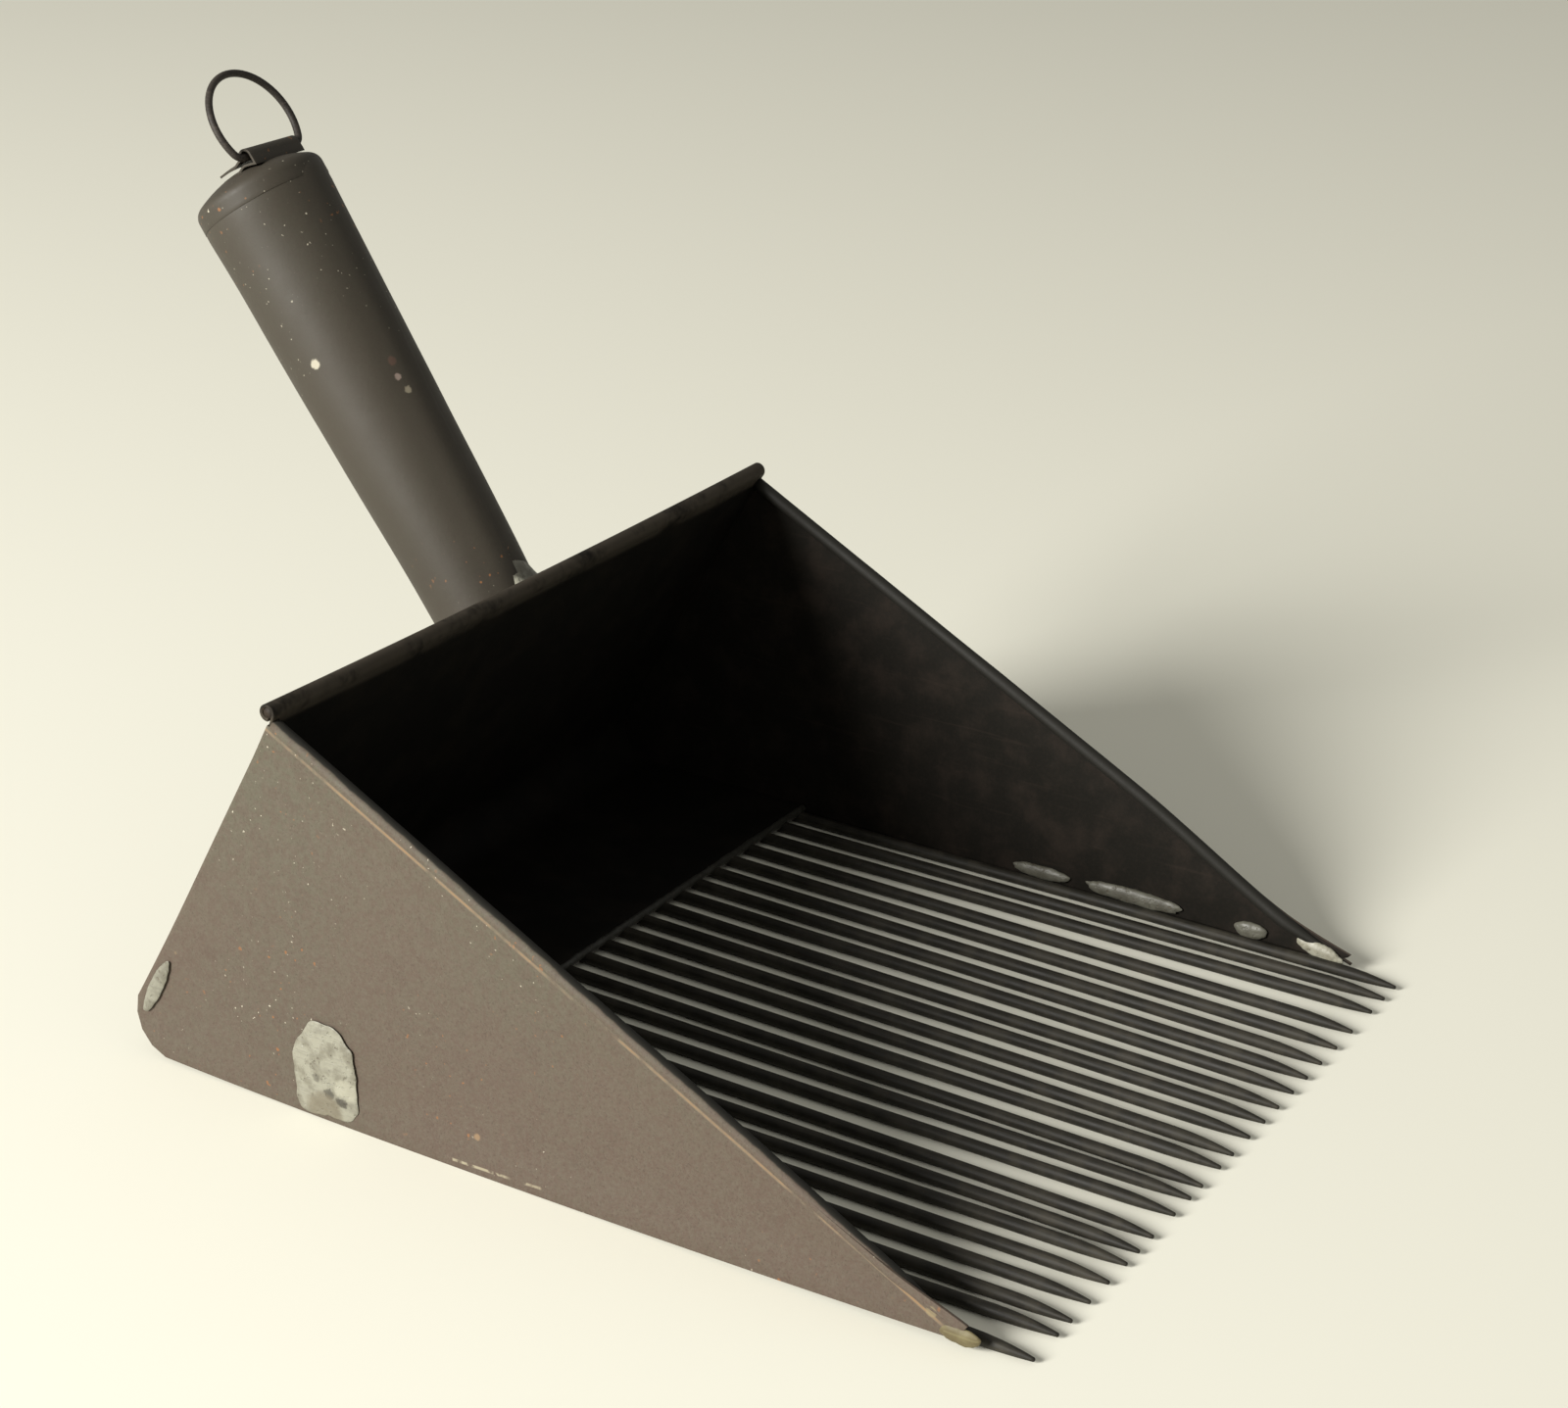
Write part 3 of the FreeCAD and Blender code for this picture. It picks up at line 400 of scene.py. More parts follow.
def stripe_along_line(point, direction, low, high, tone, share, patchy=0.55):
    """A stripe between two distances from a line, broken up along its length: rubbed wear by the back's roll, painted
    highlight under the side plates' rolled edges.
    """
    def mark(finish):
        away = finish.along(direction, point)
        stripe = away.step(low, low + (high - low) * 0.3) * away.step(high, high - (high - low) * 0.4)
        worn = finish.grain(14 * MM, 4.0, 0.7).step(patchy - 0.12, patchy + 0.12)
        return stripe * worn, tone, share
    return mark


def edge_scratch(start, end, reach, tone, share):
    """A scratch along a plate between two points, fading at its ends."""
    def mark(finish):
        length = (end - start).length
        direction = (end - start) / length
        across = X_AXIS.cross(direction)
        off_line = finish.along(across, start)
        travelled = finish.along(direction, start)
        line = off_line.step(-reach, -reach * 0.4) * off_line.step(reach, reach * 0.4)
        ends = travelled.step(0, length * 0.1) * travelled.step(length, length * 0.85)
        worn = finish.grain(3 * MM, 3.0, 0.7).step(0.36, 0.5)
        return line * ends * worn, tone, share
    return mark


def scratches(direction_turn, tone, share, size=1.2 * MM, length=26, patchy=0.6):
    """Fine scratches that all run one way."""
    def mark(finish):
        streaks = finish.grain(size, 2.0, 0.6, place=finish.stretched((1, 1 / length, 1), direction_turn))
        patches = finish.grain(30 * MM, 2.0).step(patchy - 0.08, patchy + 0.08)
        return streaks.step(0.60, 0.68) * patches, tone, share
    return mark


# %% [markdown]
# ## Solder, wire and the rest
# Wiped solder is paler and greyer than the sheet, with brush streaks and dark pits. Drawn wire is
# dark, dulled steel, and shows faint lines along its length. Both take the same arithmetic.

# %% Solder and wire finishes
def wiped_solder(name, bright=1.0, marks=()):
    finish = Finish(name, IOR=1.5, Specular_IOR_Level=0.5)
    streaks = finish.grain(0.9 * MM, 3.0, 0.6, place=finish.stretched((1, 0.12, 1), (math.radians(12), 0, 0)))
    lumps = finish.grain(3.5 * MM, 4.0, 0.6)
    pits = finish.grain(1.1 * MM, 2.0).step(0.60, 0.70)
    light = rgb(0.47 * bright, 0.455 * bright, 0.355 * bright)
    dull = rgb(0.285 * bright, 0.265 * bright, 0.195 * bright)
    colour = finish.mix(lumps.step(0.40, 0.68), light, dull)
    colour = finish.mix(streaks.step(0.50, 0.66) * 0.5, colour, rgb(0.33 * bright, 0.315 * bright, 0.25 * bright))
    colour = finish.mix(pits * lumps.step(0.45, 0.6) * 0.75, colour, rgb(0.10, 0.085, 0.06))
    for mask, tone, share in (mark(finish) for mark in marks):
        colour = finish.mix(mask * share, colour, tone)
    roughness = lumps * 0.25 + streaks * 0.15 + 0.28
    return finish.close(colour, roughness, streaks * 0.4 + lumps - pits * 0.5, 0.22 * MM)


def drawn_wire(name, dark, light, shine=0.34):
    finish = Finish(name, IOR=1.5, Specular_IOR_Level=0.25)
    lines = finish.grain(0.5 * MM, 2.0, 0.6, place=finish.stretched((1, 0.03, 1)))
    cloud = finish.grain(7 * MM, 3.0, 0.6)
    speckle = finish.grain(0.6 * MM, 2.0, 0.7)
    colour = finish.mix(cloud.step(0.4, 0.7) * 0.6 + lines.step(0.45, 0.7) * 0.4, dark, light)
    colour = finish.mix(speckle.step(0.62, 0.74) * 0.45, colour, rgb(0.055, 0.038, 0.026))
    roughness = cloud * 0.25 + lines * 0.12 + shine
    return finish.close(colour, roughness, lines * 0.6 + speckle * 0.2, 0.08 * MM)


# %% [markdown]
# ## The floor and back
# One sheet makes both: flat under the berries, bent up round the heel, and rolled back over a
# wire at the top. The outline is drawn once from the side and drawn out across the scoop. The
# rolled edge sags a little at mid-span, and no hand-cut sheet is dead flat.

# %% Floor and back
PAN_BEND = 9.5 * MM
EDGE_SAG = 0.9 * MM
ROLLED_ROUND = math.radians(305)
ACROSS_STEPS = 64


def sag_of(place):
    """How far the back has sagged at a place: most at mid-span, along its top."""
    across = place.x / half_width
    return EDGE_SAG * (1 - across * across) * smooth_step(25 * MM, 92 * MM, place.z)


def facing(mesh, direction):
    """Turn an open sheet over if its first face looks away from a direction."""
    mesh.normal_update()
    mesh.faces.ensure_lookup_table()
    if mesh.faces[0].normal.dot(Vector(direction)) < 0:
        bmesh.ops.reverse_faces(mesh, faces=mesh.faces)


def near_roll(worn):
    """Keep a mark to the back's rolled edge."""
    def mark(finish):
        mask, tone, share = worn(finish)
        return mask * (finish.along(along_back, back_roll)).step(-3.5 * MM, -1.5 * MM), tone, share
    return mark


def make_pan():
    floor_top = floor_under + GAUGE
    bend = PAN_BEND - GAUGE
    bend_z = floor_top + bend
    bend_y = back_face.y - (PAN_BEND + (bend_z - back_face.z) * math.sin(BACK_LEAN)) / math.cos(BACK_LEAN)
    left_end = X_AXIS * -half_width
    sheet = Outline(left_end + Vector((0, floor_front, floor_top)))
    sheet.run(left_end + Vector((0, bend_y, floor_top)), 14)
    sheet.turn(left_end + Vector((0, bend_y, bend_z)), math.pi / 2 + BACK_LEAN, 10)
    sheet.run(left_end + back_roll - off_back * back_roll_radius, 30)
    sheet.turn(left_end + back_roll, -ROLLED_ROUND, 22)
    mesh = sheet.draw_out(X_AXIS * (2 * half_width / ACROSS_STEPS), ACROSS_STEPS)
    facing(mesh, (0, 0, 1))
    wall = half_width - GAUGE - 0.05 * MM
    for vertex in mesh.verts:
        place = vertex.co.copy()
        to_roll = (place - back_roll).yz.length
        in_wall = smooth_step(back_roll_radius, back_roll_radius + 1 * MM, to_roll)
        if to_roll > back_roll_radius + 0.1 * MM:
            vertex.co.x = max(-wall, min(wall, place.x))
        inner = 1 - abs(place.x / half_width) ** 6
        vertex.co.z -= sag_of(place)
        vertex.co += off_back * (wobble(place, 45 * MM, 1) * 0.7 * MM * inner * in_wall * smooth_step(10 * MM, 40 * MM, place.z))
        edge = 1 - smooth_step(0, 6 * MM, place.y - floor_front)
        vertex.co.y += wobble(place, 9 * MM, 2) * 0.7 * MM * edge
        vertex.co.z += (1 + wobble(place, 16 * MM, 3)) * 0.18 * MM * edge
    marks = (stripe_along_line(back_roll, off_back, -3 * MM, -1.2 * MM, rgb(0.045, 0.033, 0.025), 0.9, 0.4),
             scratches((0, 0, 0), rgb(0.05, 0.043, 0.034), 0.5))
    worn_roll = stripe_along_line(back_roll, off_back, -4 * MM, 4 * MM, rgb(0.060, 0.050, 0.038), 0.8, 0.42)
    # The inside is painted near-black as painted shade; the lighter band by the roll is wear.
    front = shaded_and_scuffed_tin("pan_inside", INSIDE_SHADE, rgb(0.018, 0.014, 0.010), marks=(near_roll(worn_roll),))
    rear = old_tin("pan_outside", marks=marks)
    thicken(make_piece("bent_pan", mesh, (front, rear), "pan_sheet"), GAUGE)


def make_back_wire():
    """The wire in the back's roll, which ends a little inside it."""
    low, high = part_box("back_edge_wire")
    short = 0.4 * MM
    mesh = bmesh.new()
    start = Matrix.Translation((low.x + short, back_roll.y, back_roll.z)) @ Matrix.Rotation(math.pi / 2, 4, "Y")
    bmesh.ops.create_circle(mesh, cap_ends=False, segments=16, radius=(high.z - low.z) / 2 - 0.02 * MM, matrix=start)
    step = (high.x - low.x - 2 * short) / ACROSS_STEPS
    bmesh.ops.spin(mesh, geom=mesh.verts[:] + mesh.edges[:], cent=(0, 0, 0), axis=X_AXIS, angle=0,
                   dvec=X_AXIS * step, steps=ACROSS_STEPS)
    bmesh.ops.holes_fill(mesh, edges=[edge for edge in mesh.edges if edge.is_boundary])
    for vertex in mesh.verts:
        vertex.co.z -= sag_of(vertex.co)
    make_piece("back_roll_wire", mesh, (edge_wire,), "back_edge_wire", turned=True)


edge_wire = drawn_wire("dark_edge_wire", rgb(0.018, 0.014, 0.011), rgb(0.045, 0.031, 0.020), 0.5)
make_pan()
make_back_wire()
print("pan made, floor front at", round(floor_front, 4))

# %% [markdown]
# ## The side plates
# A plate is cut from flat sheet with its top edge rolled inward round a wire, and the roll fades
# out before the nose. The wall is a grid drawn out along the roll, trimmed by planes as with
# shears, with a fan of planes for the round heel. The roll is a rod beside it whose radius
# shrinks towards the nose, so that the two read as one sheet.

# %% Side plates
HEEL_ROUND = 10.5 * MM
HEEL_CUTS = 5
WALL_ROWS = 38
WALL_STEPS = 72
WALL_DEPTH = 112 * MM
WALL_LENGTH = 216 * MM
ROLL_STARTS = 22 * MM
FRONT_BOW = 1.2 * MM
HEEL_BOW = 2.4 * MM
NOSE_SETTLED = {"left": 0.12, "right": 0.42}
SETTLED_OVER = 62 * MM


def plate_bow(place):
    """How far a plate's bottom edge is off the table there: it rests behind its middle."""
    reach = (place.y - 12 * MM) / (100 * MM)
    bow = HEEL_BOW if reach > 0 else FRONT_BOW
    return bow * reach * reach * (1 - smooth_step(0, 45 * MM, place.z))


def settled(place, side):
    """A plate's nose is lower than its straight outline, more so on the right; this shares the drop out."""
    ahead = max(0.0, 1 - (place.y - nose_y) / SETTLED_OVER)
    return place.z * (1 - NOSE_SETTLED[side] * min(1.0, ahead) ** 2)


def make_side_plate(side, sign, seed, marks):
    wire_node = f"{side}_edge_wire"
    wire_middle = middle_of(wire_node)
    roll_radius = size_of(wire_node).x / 2 + GAUGE
    top_line = wire_middle + off_side * roll_radius
    face = sign * half_width
    start_run = (nose_y - 4 * MM - top_line.y) / along_side.y
    start = Vector((face, top_line.y, top_line.z)) + along_side * start_run

    def roll_size(place):
        from_nose = (place - start).dot(along_side)
        return 0.4 * MM + (roll_radius - 0.4 * MM) * smooth_step(4 * MM, 4 * MM + ROLL_STARTS, from_nose)

    wall = Outline(start)
    wall.run(start - off_side * WALL_DEPTH, WALL_ROWS)
    mesh = wall.draw_out(along_side * (WALL_LENGTH / WALL_STEPS), WALL_STEPS)
    facing(mesh, X_AXIS * sign)
    for vertex in mesh.verts:
        if (vertex.co - start).dot(off_side) > -0.1 * MM:
            vertex.co -= off_side * roll_size(vertex.co)
    heel_z = HEEL_ROUND
    heel_y = back_face.y - (HEEL_ROUND + (heel_z - back_face.z) * math.sin(BACK_LEAN)) / math.cos(BACK_LEAN)
    trim(mesh, (0, 0, 0), (0, 0, -1))
    trim(mesh, (0, nose_y, 0), (0, -1, 0))
    trim(mesh, back_face, off_back)
    for cut in range(1, HEEL_CUTS):
        angle = (math.pi / 2 + BACK_LEAN) * cut / HEEL_CUTS
        outward = Vector((0, math.sin(angle), -math.cos(angle)))
        trim(mesh, Vector((0, heel_y, heel_z)) + outward * HEEL_ROUND, outward)
    for degrees, back, up in ((38, 1.9, 2.4), (62, 0.5, 4.0), (118, 0.35, 6.0), (140, 1.2, 6.9)):
        outward = Vector((0, -math.sin(math.radians(degrees)), -math.cos(math.radians(degrees))))
        trim(mesh, Vector((0, nose_y + back * MM, up * MM)), outward)
    for vertex in mesh.verts:
        place = vertex.co.copy()
        from_top = -(place - start).dot(off_side)
        free = smooth_step(roll_radius, 12 * MM, from_top) * smooth_step(0, 20 * MM, place.y - nose_y)
        vertex.co.x -= sign * (0.45 * MM + wobble(place, 55 * MM, seed) * 0.55 * MM) * free * smooth_step(0, 12 * MM, place.z)
        vertex.co.z = settled(vertex.co, side) + plate_bow(place)
    finishes = (old_tin(f"{side}_plate_outside", marks=marks), plate_inside)
    thicken(make_piece(f"{side}_plate_wall", mesh, finishes, f"{side}_side_plate"), GAUGE)
    roll = rod_in_edge(side, sign, start, roll_size, lambda radius: radius, 4.2 * MM, seed)
    make_piece(f"{side}_rolled_edge", roll, (rolled_tin,), f"{side}_side_plate", turned=True)
    wire_radius = size_of(wire_node).x / 2
    wire = rod_in_edge(side, sign, start, roll_size, lambda radius: min(wire_radius, radius * 0.6), 26 * MM, seed)
    make_piece(f"{side}_roll_wire", wire, (edge_wire,), wire_node, turned=True)


def rod_in_edge(side, sign, start, roll_size, thickness, first, seed):
    """A rod along a plate's top edge: the roll itself, or the wire inside it."""
    steps = 70
    mesh = bmesh.new()
    end = back_face - off_back * GAUGE
    length = (end - start).dot(off_back) / along_side.dot(off_back) - first
    turn = Matrix.Rotation(SIDE_SLOPE - math.pi / 2, 4, "X")
    bmesh.ops.create_circle(mesh, cap_ends=False, segments=24, radius=1 * MM, matrix=turn)
    bmesh.ops.translate(mesh, verts=mesh.verts, vec=start + along_side * first)
    bmesh.ops.spin(mesh, geom=mesh.verts[:] + mesh.edges[:], cent=(0, 0, 0), axis=X_AXIS, angle=0,
                   dvec=along_side * (length / steps), steps=steps)
    bmesh.ops.holes_fill(mesh, edges=[edge for edge in mesh.edges if edge.is_boundary])
    for vertex in mesh.verts:
        travelled = (vertex.co - start).dot(along_side)
        centre = start + along_side * travelled
        radius = roll_size(centre)
        out = (vertex.co - centre) / MM
        uneven = 1 + 0.05 * wobble(centre, 18 * MM, seed + 4)
        middle = centre - off_side * radius - X_AXIS * (sign * (radius - 0.08 * MM))
        middle.z = settled(middle, side)
        vertex.co = middle + out * thickness(radius) * uneven
    trim(mesh, end, off_back)
    bmesh.ops.holes_fill(mesh, edges=[edge for edge in mesh.edges if edge.is_boundary])
    return mesh


def on_left_plate(from_nose_y, height):
    """A point on the left plate's outer face."""
    return Vector((-half_width, nose_y + from_nose_y, height))


left_top = middle_of("left_edge_wire") + off_side * (size_of("left_edge_wire").x / 2 + GAUGE)
# The first two stripes on the left plate are painted highlight: lighter bands just under the rolled edge, where its
# shoulder catches the light. The spots and scratches after them are rust, stains and wear.
left_marks = (
    stripe_along_line(left_top, off_side, -3.4 * MM, -2.2 * MM, rgb(0.20, 0.155, 0.105), 0.55, 0.45),
    stripe_along_line(left_top, off_side, -3.1 * MM, -2.4 * MM, rgb(0.27, 0.15, 0.06), 0.55, 0.55),
    spot(on_left_plate(121.6 * MM, 9.2 * MM), 1.0 * MM, rgb(0.24, 0.155, 0.085), 0.7),
    edge_scratch(on_left_plate(130.0 * MM, 1.7 * MM), on_left_plate(112.0 * MM, 2.1 * MM), 0.45 * MM,
                 rgb(0.30, 0.265, 0.185), 0.85),
    edge_scratch(on_left_plate(109.0 * MM, 2.2 * MM), on_left_plate(104.0 * MM, 2.4 * MM), 0.45 * MM,
                 rgb(0.26, 0.225, 0.155), 0.8),
    spot(on_left_plate(205.5 * MM, 18.3 * MM), 0.45 * MM, PALE, 0.8),
    spot(on_left_plate(163.0 * MM, 17.0 * MM), 1.1 * MM, rgb(0.20, 0.155, 0.095), 0.6),
    spot(on_left_plate(206.0 * MM, 29.0 * MM), 0.7 * MM, rgb(0.22, 0.155, 0.09), 0.5),
    spot(on_left_plate(8.5 * MM, 6.8 * MM), 1.3 * MM, rgb(0.22, 0.18, 0.10), 0.6))
# The first stripe on the right plate is the same painted highlight under the rolled edge.
right_marks = (
    stripe_along_line(left_top, off_side, -3.4 * MM, -2.2 * MM, rgb(0.20, 0.155, 0.105), 0.5, 0.5),
    scratches((math.radians(25), 0, 0), rgb(0.17, 0.14, 0.10), 0.3),
    spot(Vector((half_width, nose_y + 60 * MM, 20 * MM)), 2.2 * MM, rgb(0.18, 0.10, 0.05), 0.5))
# The rolled edges' tops are painted near-black as painted shade; a strip on the outer shoulder keeps the lighter tin.
rolled_tin = old_tin("rolled_edge_tin", dark=roll_tops_painted_shade, shine=0.50)
# The plates' inner faces are painted near-black with a brown cast, as painted shade.
plate_inside = shaded_and_scuffed_tin("plate_inside", rgb(0.010, 0.009, 0.007), rgb(0.030, 0.022, 0.017), 0.45)
make_side_plate("left", -1, 11, left_marks)
make_side_plate("right", 1, 17, right_marks)
print("plates made, nose at", round(nose_y, 4))

# %% [markdown]
# ## The tines
# Each tine is a length of drawn wire filed to a point. Half its outline is drawn from the point
# back, turned once round its own axis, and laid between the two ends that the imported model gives.
# Hand-straightened wire is never quite straight, so each one keeps a slight bow of its own, and
# the points have been pushed aside in use; the list says how far, in millimetres.

# %% Tines
TINE_COUNT = 24
TINE_POINT = 15 * MM
TINE_BLUNT = 0.45 * MM
TINE_SIDES = 16
BENT_ASIDE = (0.8, 3.6, 1.1, 2.2, 2.4, 3.0, 1.3, -0.9, 3.0, 1.6, 0.2, 1.3,
              -0.9, 0.8, -0.7, -0.3, -1.1, -1.6, -1.3, -1.9, -0.1, 2.6, 2.2, 0.6)


def tine_ends(node):
    """The middles of a tine's two end faces."""
    places = [vertex.co for vertex in frame["nodes"][node].data.vertices]
    front = min(place.y for place in places)
    rear = max(place.y for place in places)
    tip = [place for place in places if place.y < front + 0.2 * MM]
    tail = [place for place in places if place.y > rear - 0.2 * MM]
    return sum(tip, Vector()) / len(tip), sum(tail, Vector()) / len(tail)


def make_tine(number, finish):
    node = f"tine_{number:02d}"
    tip, tail = tine_ends(node)
    radius = size_of(node).z / 2
    length = (tail - tip).length
    outline = Outline((0, 0, 0))
    outline.run((TINE_BLUNT * 0.7, 0.02 * MM, 0))
    for share in (0.012, 0.05, 0.12, 0.22, 0.36, 0.54, 0.76, 1.0):
        swell = TINE_BLUNT + (radius - TINE_BLUNT) * (1 - (1 - share) ** 2)
        outline.run((swell, share * TINE_POINT, 0))
    outline.run((radius, length, 0), 16)
    outline.run((0, length, 0))
    mesh = outline.spin_round((0, 0, 0), (0, 1, 0), TINE_SIDES)
    ahead = (tail - tip).normalized()
    aside = Vector((ahead.y, -ahead.x, 0))
    for vertex in mesh.verts:
        travelled = vertex.co.y
        around = Vector((vertex.co.x, 0, vertex.co.z))
        filed = max(TINE_BLUNT, radius - max(0.0, 1 - travelled / TINE_POINT) ** 2 * (radius - TINE_BLUNT))
        held = math.sin(math.pi * min(1.0, travelled / length))
        bow = wobble(Vector((number * 3.7, travelled / (90 * MM), 0)), 1, 5) * 0.5 * MM * held
        bent = BENT_ASIDE[number - 1] * MM * max(0.0, 1 - travelled / length) ** 1.6
        middle = tip + ahead * travelled + aside * bow + X_AXIS * bent
        middle.z = radius + (filed - radius) * 0.5
        vertex.co = middle + aside * around.x + Vector((0, 0, around.z))
    make_piece(f"comb_{node}", mesh, (finish,), node, turned=True)


tine_finish = drawn_wire("tine_steel", rgb(0.014, 0.0125, 0.009), rgb(0.042, 0.037, 0.027), 0.40)
for tine_number in range(1, TINE_COUNT + 1):
    make_tine(tine_number, tine_finish)
print("tines made", TINE_COUNT)

# %% [markdown]
# ## The handle
# The tube is a flat tapered piece of sheet rolled up until one edge laps over the other, and so it
# is drawn flat and then rolled. Where the lap ends there is a real step. The tube is sawn off to
# the lean of the back and soldered there.

# %% Handle tube
GRIP_LENGTH = 124 * MM
GRIP_FOOT = 12.5 * MM
GRIP_END = 16.3 * MM
GRIP_BURIED = 14 * MM
GRIP_GAUGE = 0.45 * MM
SEAM_LOW = math.radians(-24)
SEAM_HIGH = math.radians(-3)
LAP_TURN = math.radians(378)


def grip_radius(along):
    """The tube's outer radius at a distance along the axis from the back."""
    return GRIP_FOOT + (GRIP_END - GRIP_FOOT) * along / GRIP_LENGTH


def around_grip(angle, radius, along):
    """A place beside the handle's axis; the angle runs from its upper side to the right."""
    return grip_frame @ Vector((radius * math.sin(angle), -radius * math.cos(angle), along))


def make_tube(marks):
    flat = Outline((0, 0, -GRIP_BURIED))
    flat.run((0, 0, GRIP_LENGTH), 52)
    turns = 84
    mesh = flat.draw_out((1 / turns, 0, 0), turns)
    facing(mesh, (0, 1, 0))
    for vertex in mesh.verts:
        share, along = vertex.co.x, vertex.co.z
        seam = SEAM_LOW + (SEAM_HIGH - SEAM_LOW) * along / (90 * MM)
        angle = seam + share * LAP_TURN
        lapped = smooth_step(0.90, 0.965, share) * (GRIP_GAUGE + 0.03 * MM)
        dent = wobble(Vector((math.sin(angle), math.cos(angle), along / (28 * MM))), 1.2, 9) * 0.35 * MM
        pressed = smooth_step(0, 12 * MM, GRIP_LENGTH - along)
        tucked = -0.5 * MM * (1 - smooth_step(0, 4 * MM, GRIP_LENGTH - along))
        vertex.co = around_grip(angle, grip_radius(along) + lapped + dent * pressed + tucked, along)
    trim(mesh, back_face, -off_back)
    finish = old_tin("handle_tin", marks=marks, shine=0.40, deep=0.16)
    thicken(make_piece("rolled_handle", mesh, (finish,), "handle_tube"), GRIP_GAUGE)


grip_marks = (
    spot(around_grip(math.radians(-81.9), grip_radius(79.8 * MM), 79.8 * MM), 1.3 * MM, PALE, 0.9, 0.9),
    spot(around_grip(math.radians(-19), grip_radius(68 * MM), 68 * MM), 1.0 * MM, rgb(0.26, 0.20, 0.17), 0.8, 0.9),
    spot(around_grip(math.radians(-17), grip_radius(72 * MM), 72 * MM), 1.3 * MM, rgb(0.10, 0.055, 0.04), 0.6, 0.9),
    spot(around_grip(math.radians(-16), grip_radius(64.3 * MM), 64.3 * MM), 1.1 * MM, rgb(0.24, 0.21, 0.15), 0.8, 0.9))
make_tube(grip_marks)
print("handle tube made")

# %% [markdown]
# The foot is a wide fillet of solder wiped round the joint by hand: steep at the tube, flat where
# it thins out on the back, and larger on the right. A straight outline is turned once round the
# handle's axis, and then every ring is moved onto a curve between the tube and the back.

# %% Foot solder
FOOT_RINGS = 16
FOOT_TURNS = 72


def foot_spread(angle):
    """How far the solder reaches from the axis, by direction."""
    right = smooth_step(0.0, 1.0, math.sin(angle))
    low = max(0.0, -math.cos(angle))
    return (15.6 + 5.2 * right + 2.4 * low) * MM


def foot_climb(angle):
    """How far it climbs the tube: a thick spill, with a sharp left border, covers the right side."""
    spill = smooth_step(-0.30, -0.16, math.sin(angle))
    right = max(0.0, math.sin(angle))
    return (5.0 + spill * (8.2 - 3.4 * right * right)) * MM


def make_foot_solder():
    strip = Outline((1, 0, 0))
    strip.run((1, 0, 1), FOOT_RINGS)
    mesh = strip.spin_round((0, 0, 0), (0, 0, 1), FOOT_TURNS)
    for vertex in mesh.verts:
        angle = math.atan2(vertex.co.x, -vertex.co.y)
        share = vertex.co.z
        outward = grip_frame.to_3x3() @ Vector((math.sin(angle), -math.cos(angle), 0))
        slant = -outward.dot(off_back) / grip_axis.dot(off_back)
        spread = foot_spread(angle) * (1 + 0.035 * wobble(outward, 0.5, 21))
        low = grip_seat + outward * spread + grip_axis * (slant * spread) + off_back * 0.05 * MM
        bend_out = GRIP_FOOT + 1.6 * MM
        bend = grip_seat + outward * bend_out + grip_axis * (slant * bend_out + 1.8 * MM)
        climb = foot_climb(angle) * (1 + 0.10 * wobble(outward, 0.5, 23))
        top_along = slant * GRIP_FOOT + climb
        high = grip_seat + outward * (grip_radius(top_along) + 0.10 * MM) + grip_axis * top_along
        place = low * (1 - share) ** 2 + bend * (2 * share * (1 - share)) + high * share ** 2
        middle = math.sin(math.pi * share)
        lump = wobble(place, 5 * MM, 25) * 0.35 + wobble(place, 2 * MM, 27) * 0.12
        vertex.co = place + (outward + off_back).normalized() * (lump * middle * MM)
        to_roll = (vertex.co - back_roll).yz
        clear = back_roll_radius + 0.15 * MM
        if to_roll.length < clear:
            pushed = to_roll.normalized() * (clear - to_roll.length)
            vertex.co += Vector((0, pushed.x, pushed.y))
    bmesh.ops.recalc_face_normals(mesh, faces=mesh.faces)
    mesh.faces.ensure_lookup_table()
    face = mesh.faces[0]
    if face.normal.dot(face.calc_center_median() - grip_seat) < 0:
        bmesh.ops.reverse_faces(mesh, faces=mesh.faces)
    thicken(make_piece("foot_fillet", mesh, (foot_finish,), "handle_foot_solder"), 0.3 * MM)


spill_edge = around_grip(math.radians(-9), 13.8 * MM, 10.5 * MM)
foot_finish = wiped_solder("foot_solder", 0.42, (spot(spill_edge, 2.6 * MM, rgb(0.40, 0.39, 0.31), 0.9, 0.8),))
make_foot_solder()
print("foot solder made")

# %% [markdown]
# The cap is a shallow cup of thin sheet pushed over the end of the tube. Its profile is turned
# once round the axis: dome, rounded shoulder and short skirt. Folded over its front half lies the
# hanger strap, two layers of a narrow strip with the ring's bar in the fold.

# %% Cap and hanger strap
DOME_RADIUS = 32.3 * MM
DOME_CENTRE = GRIP_LENGTH + 6.1 * MM - DOME_RADIUS
CAP_RADIUS = 16.8 * MM
CAP_SHOULDER = 3.0 * MM
CAP_SKIRT = 3.5 * MM
CAP_GAUGE = 0.5 * MM
STRAP_GAUGE = 0.55 * MM
STRAP_HALF = 9.0 * MM
STRAP_TAIL = 1.0 * MM
KNUCKLE_RADIUS = 1.53 * MM


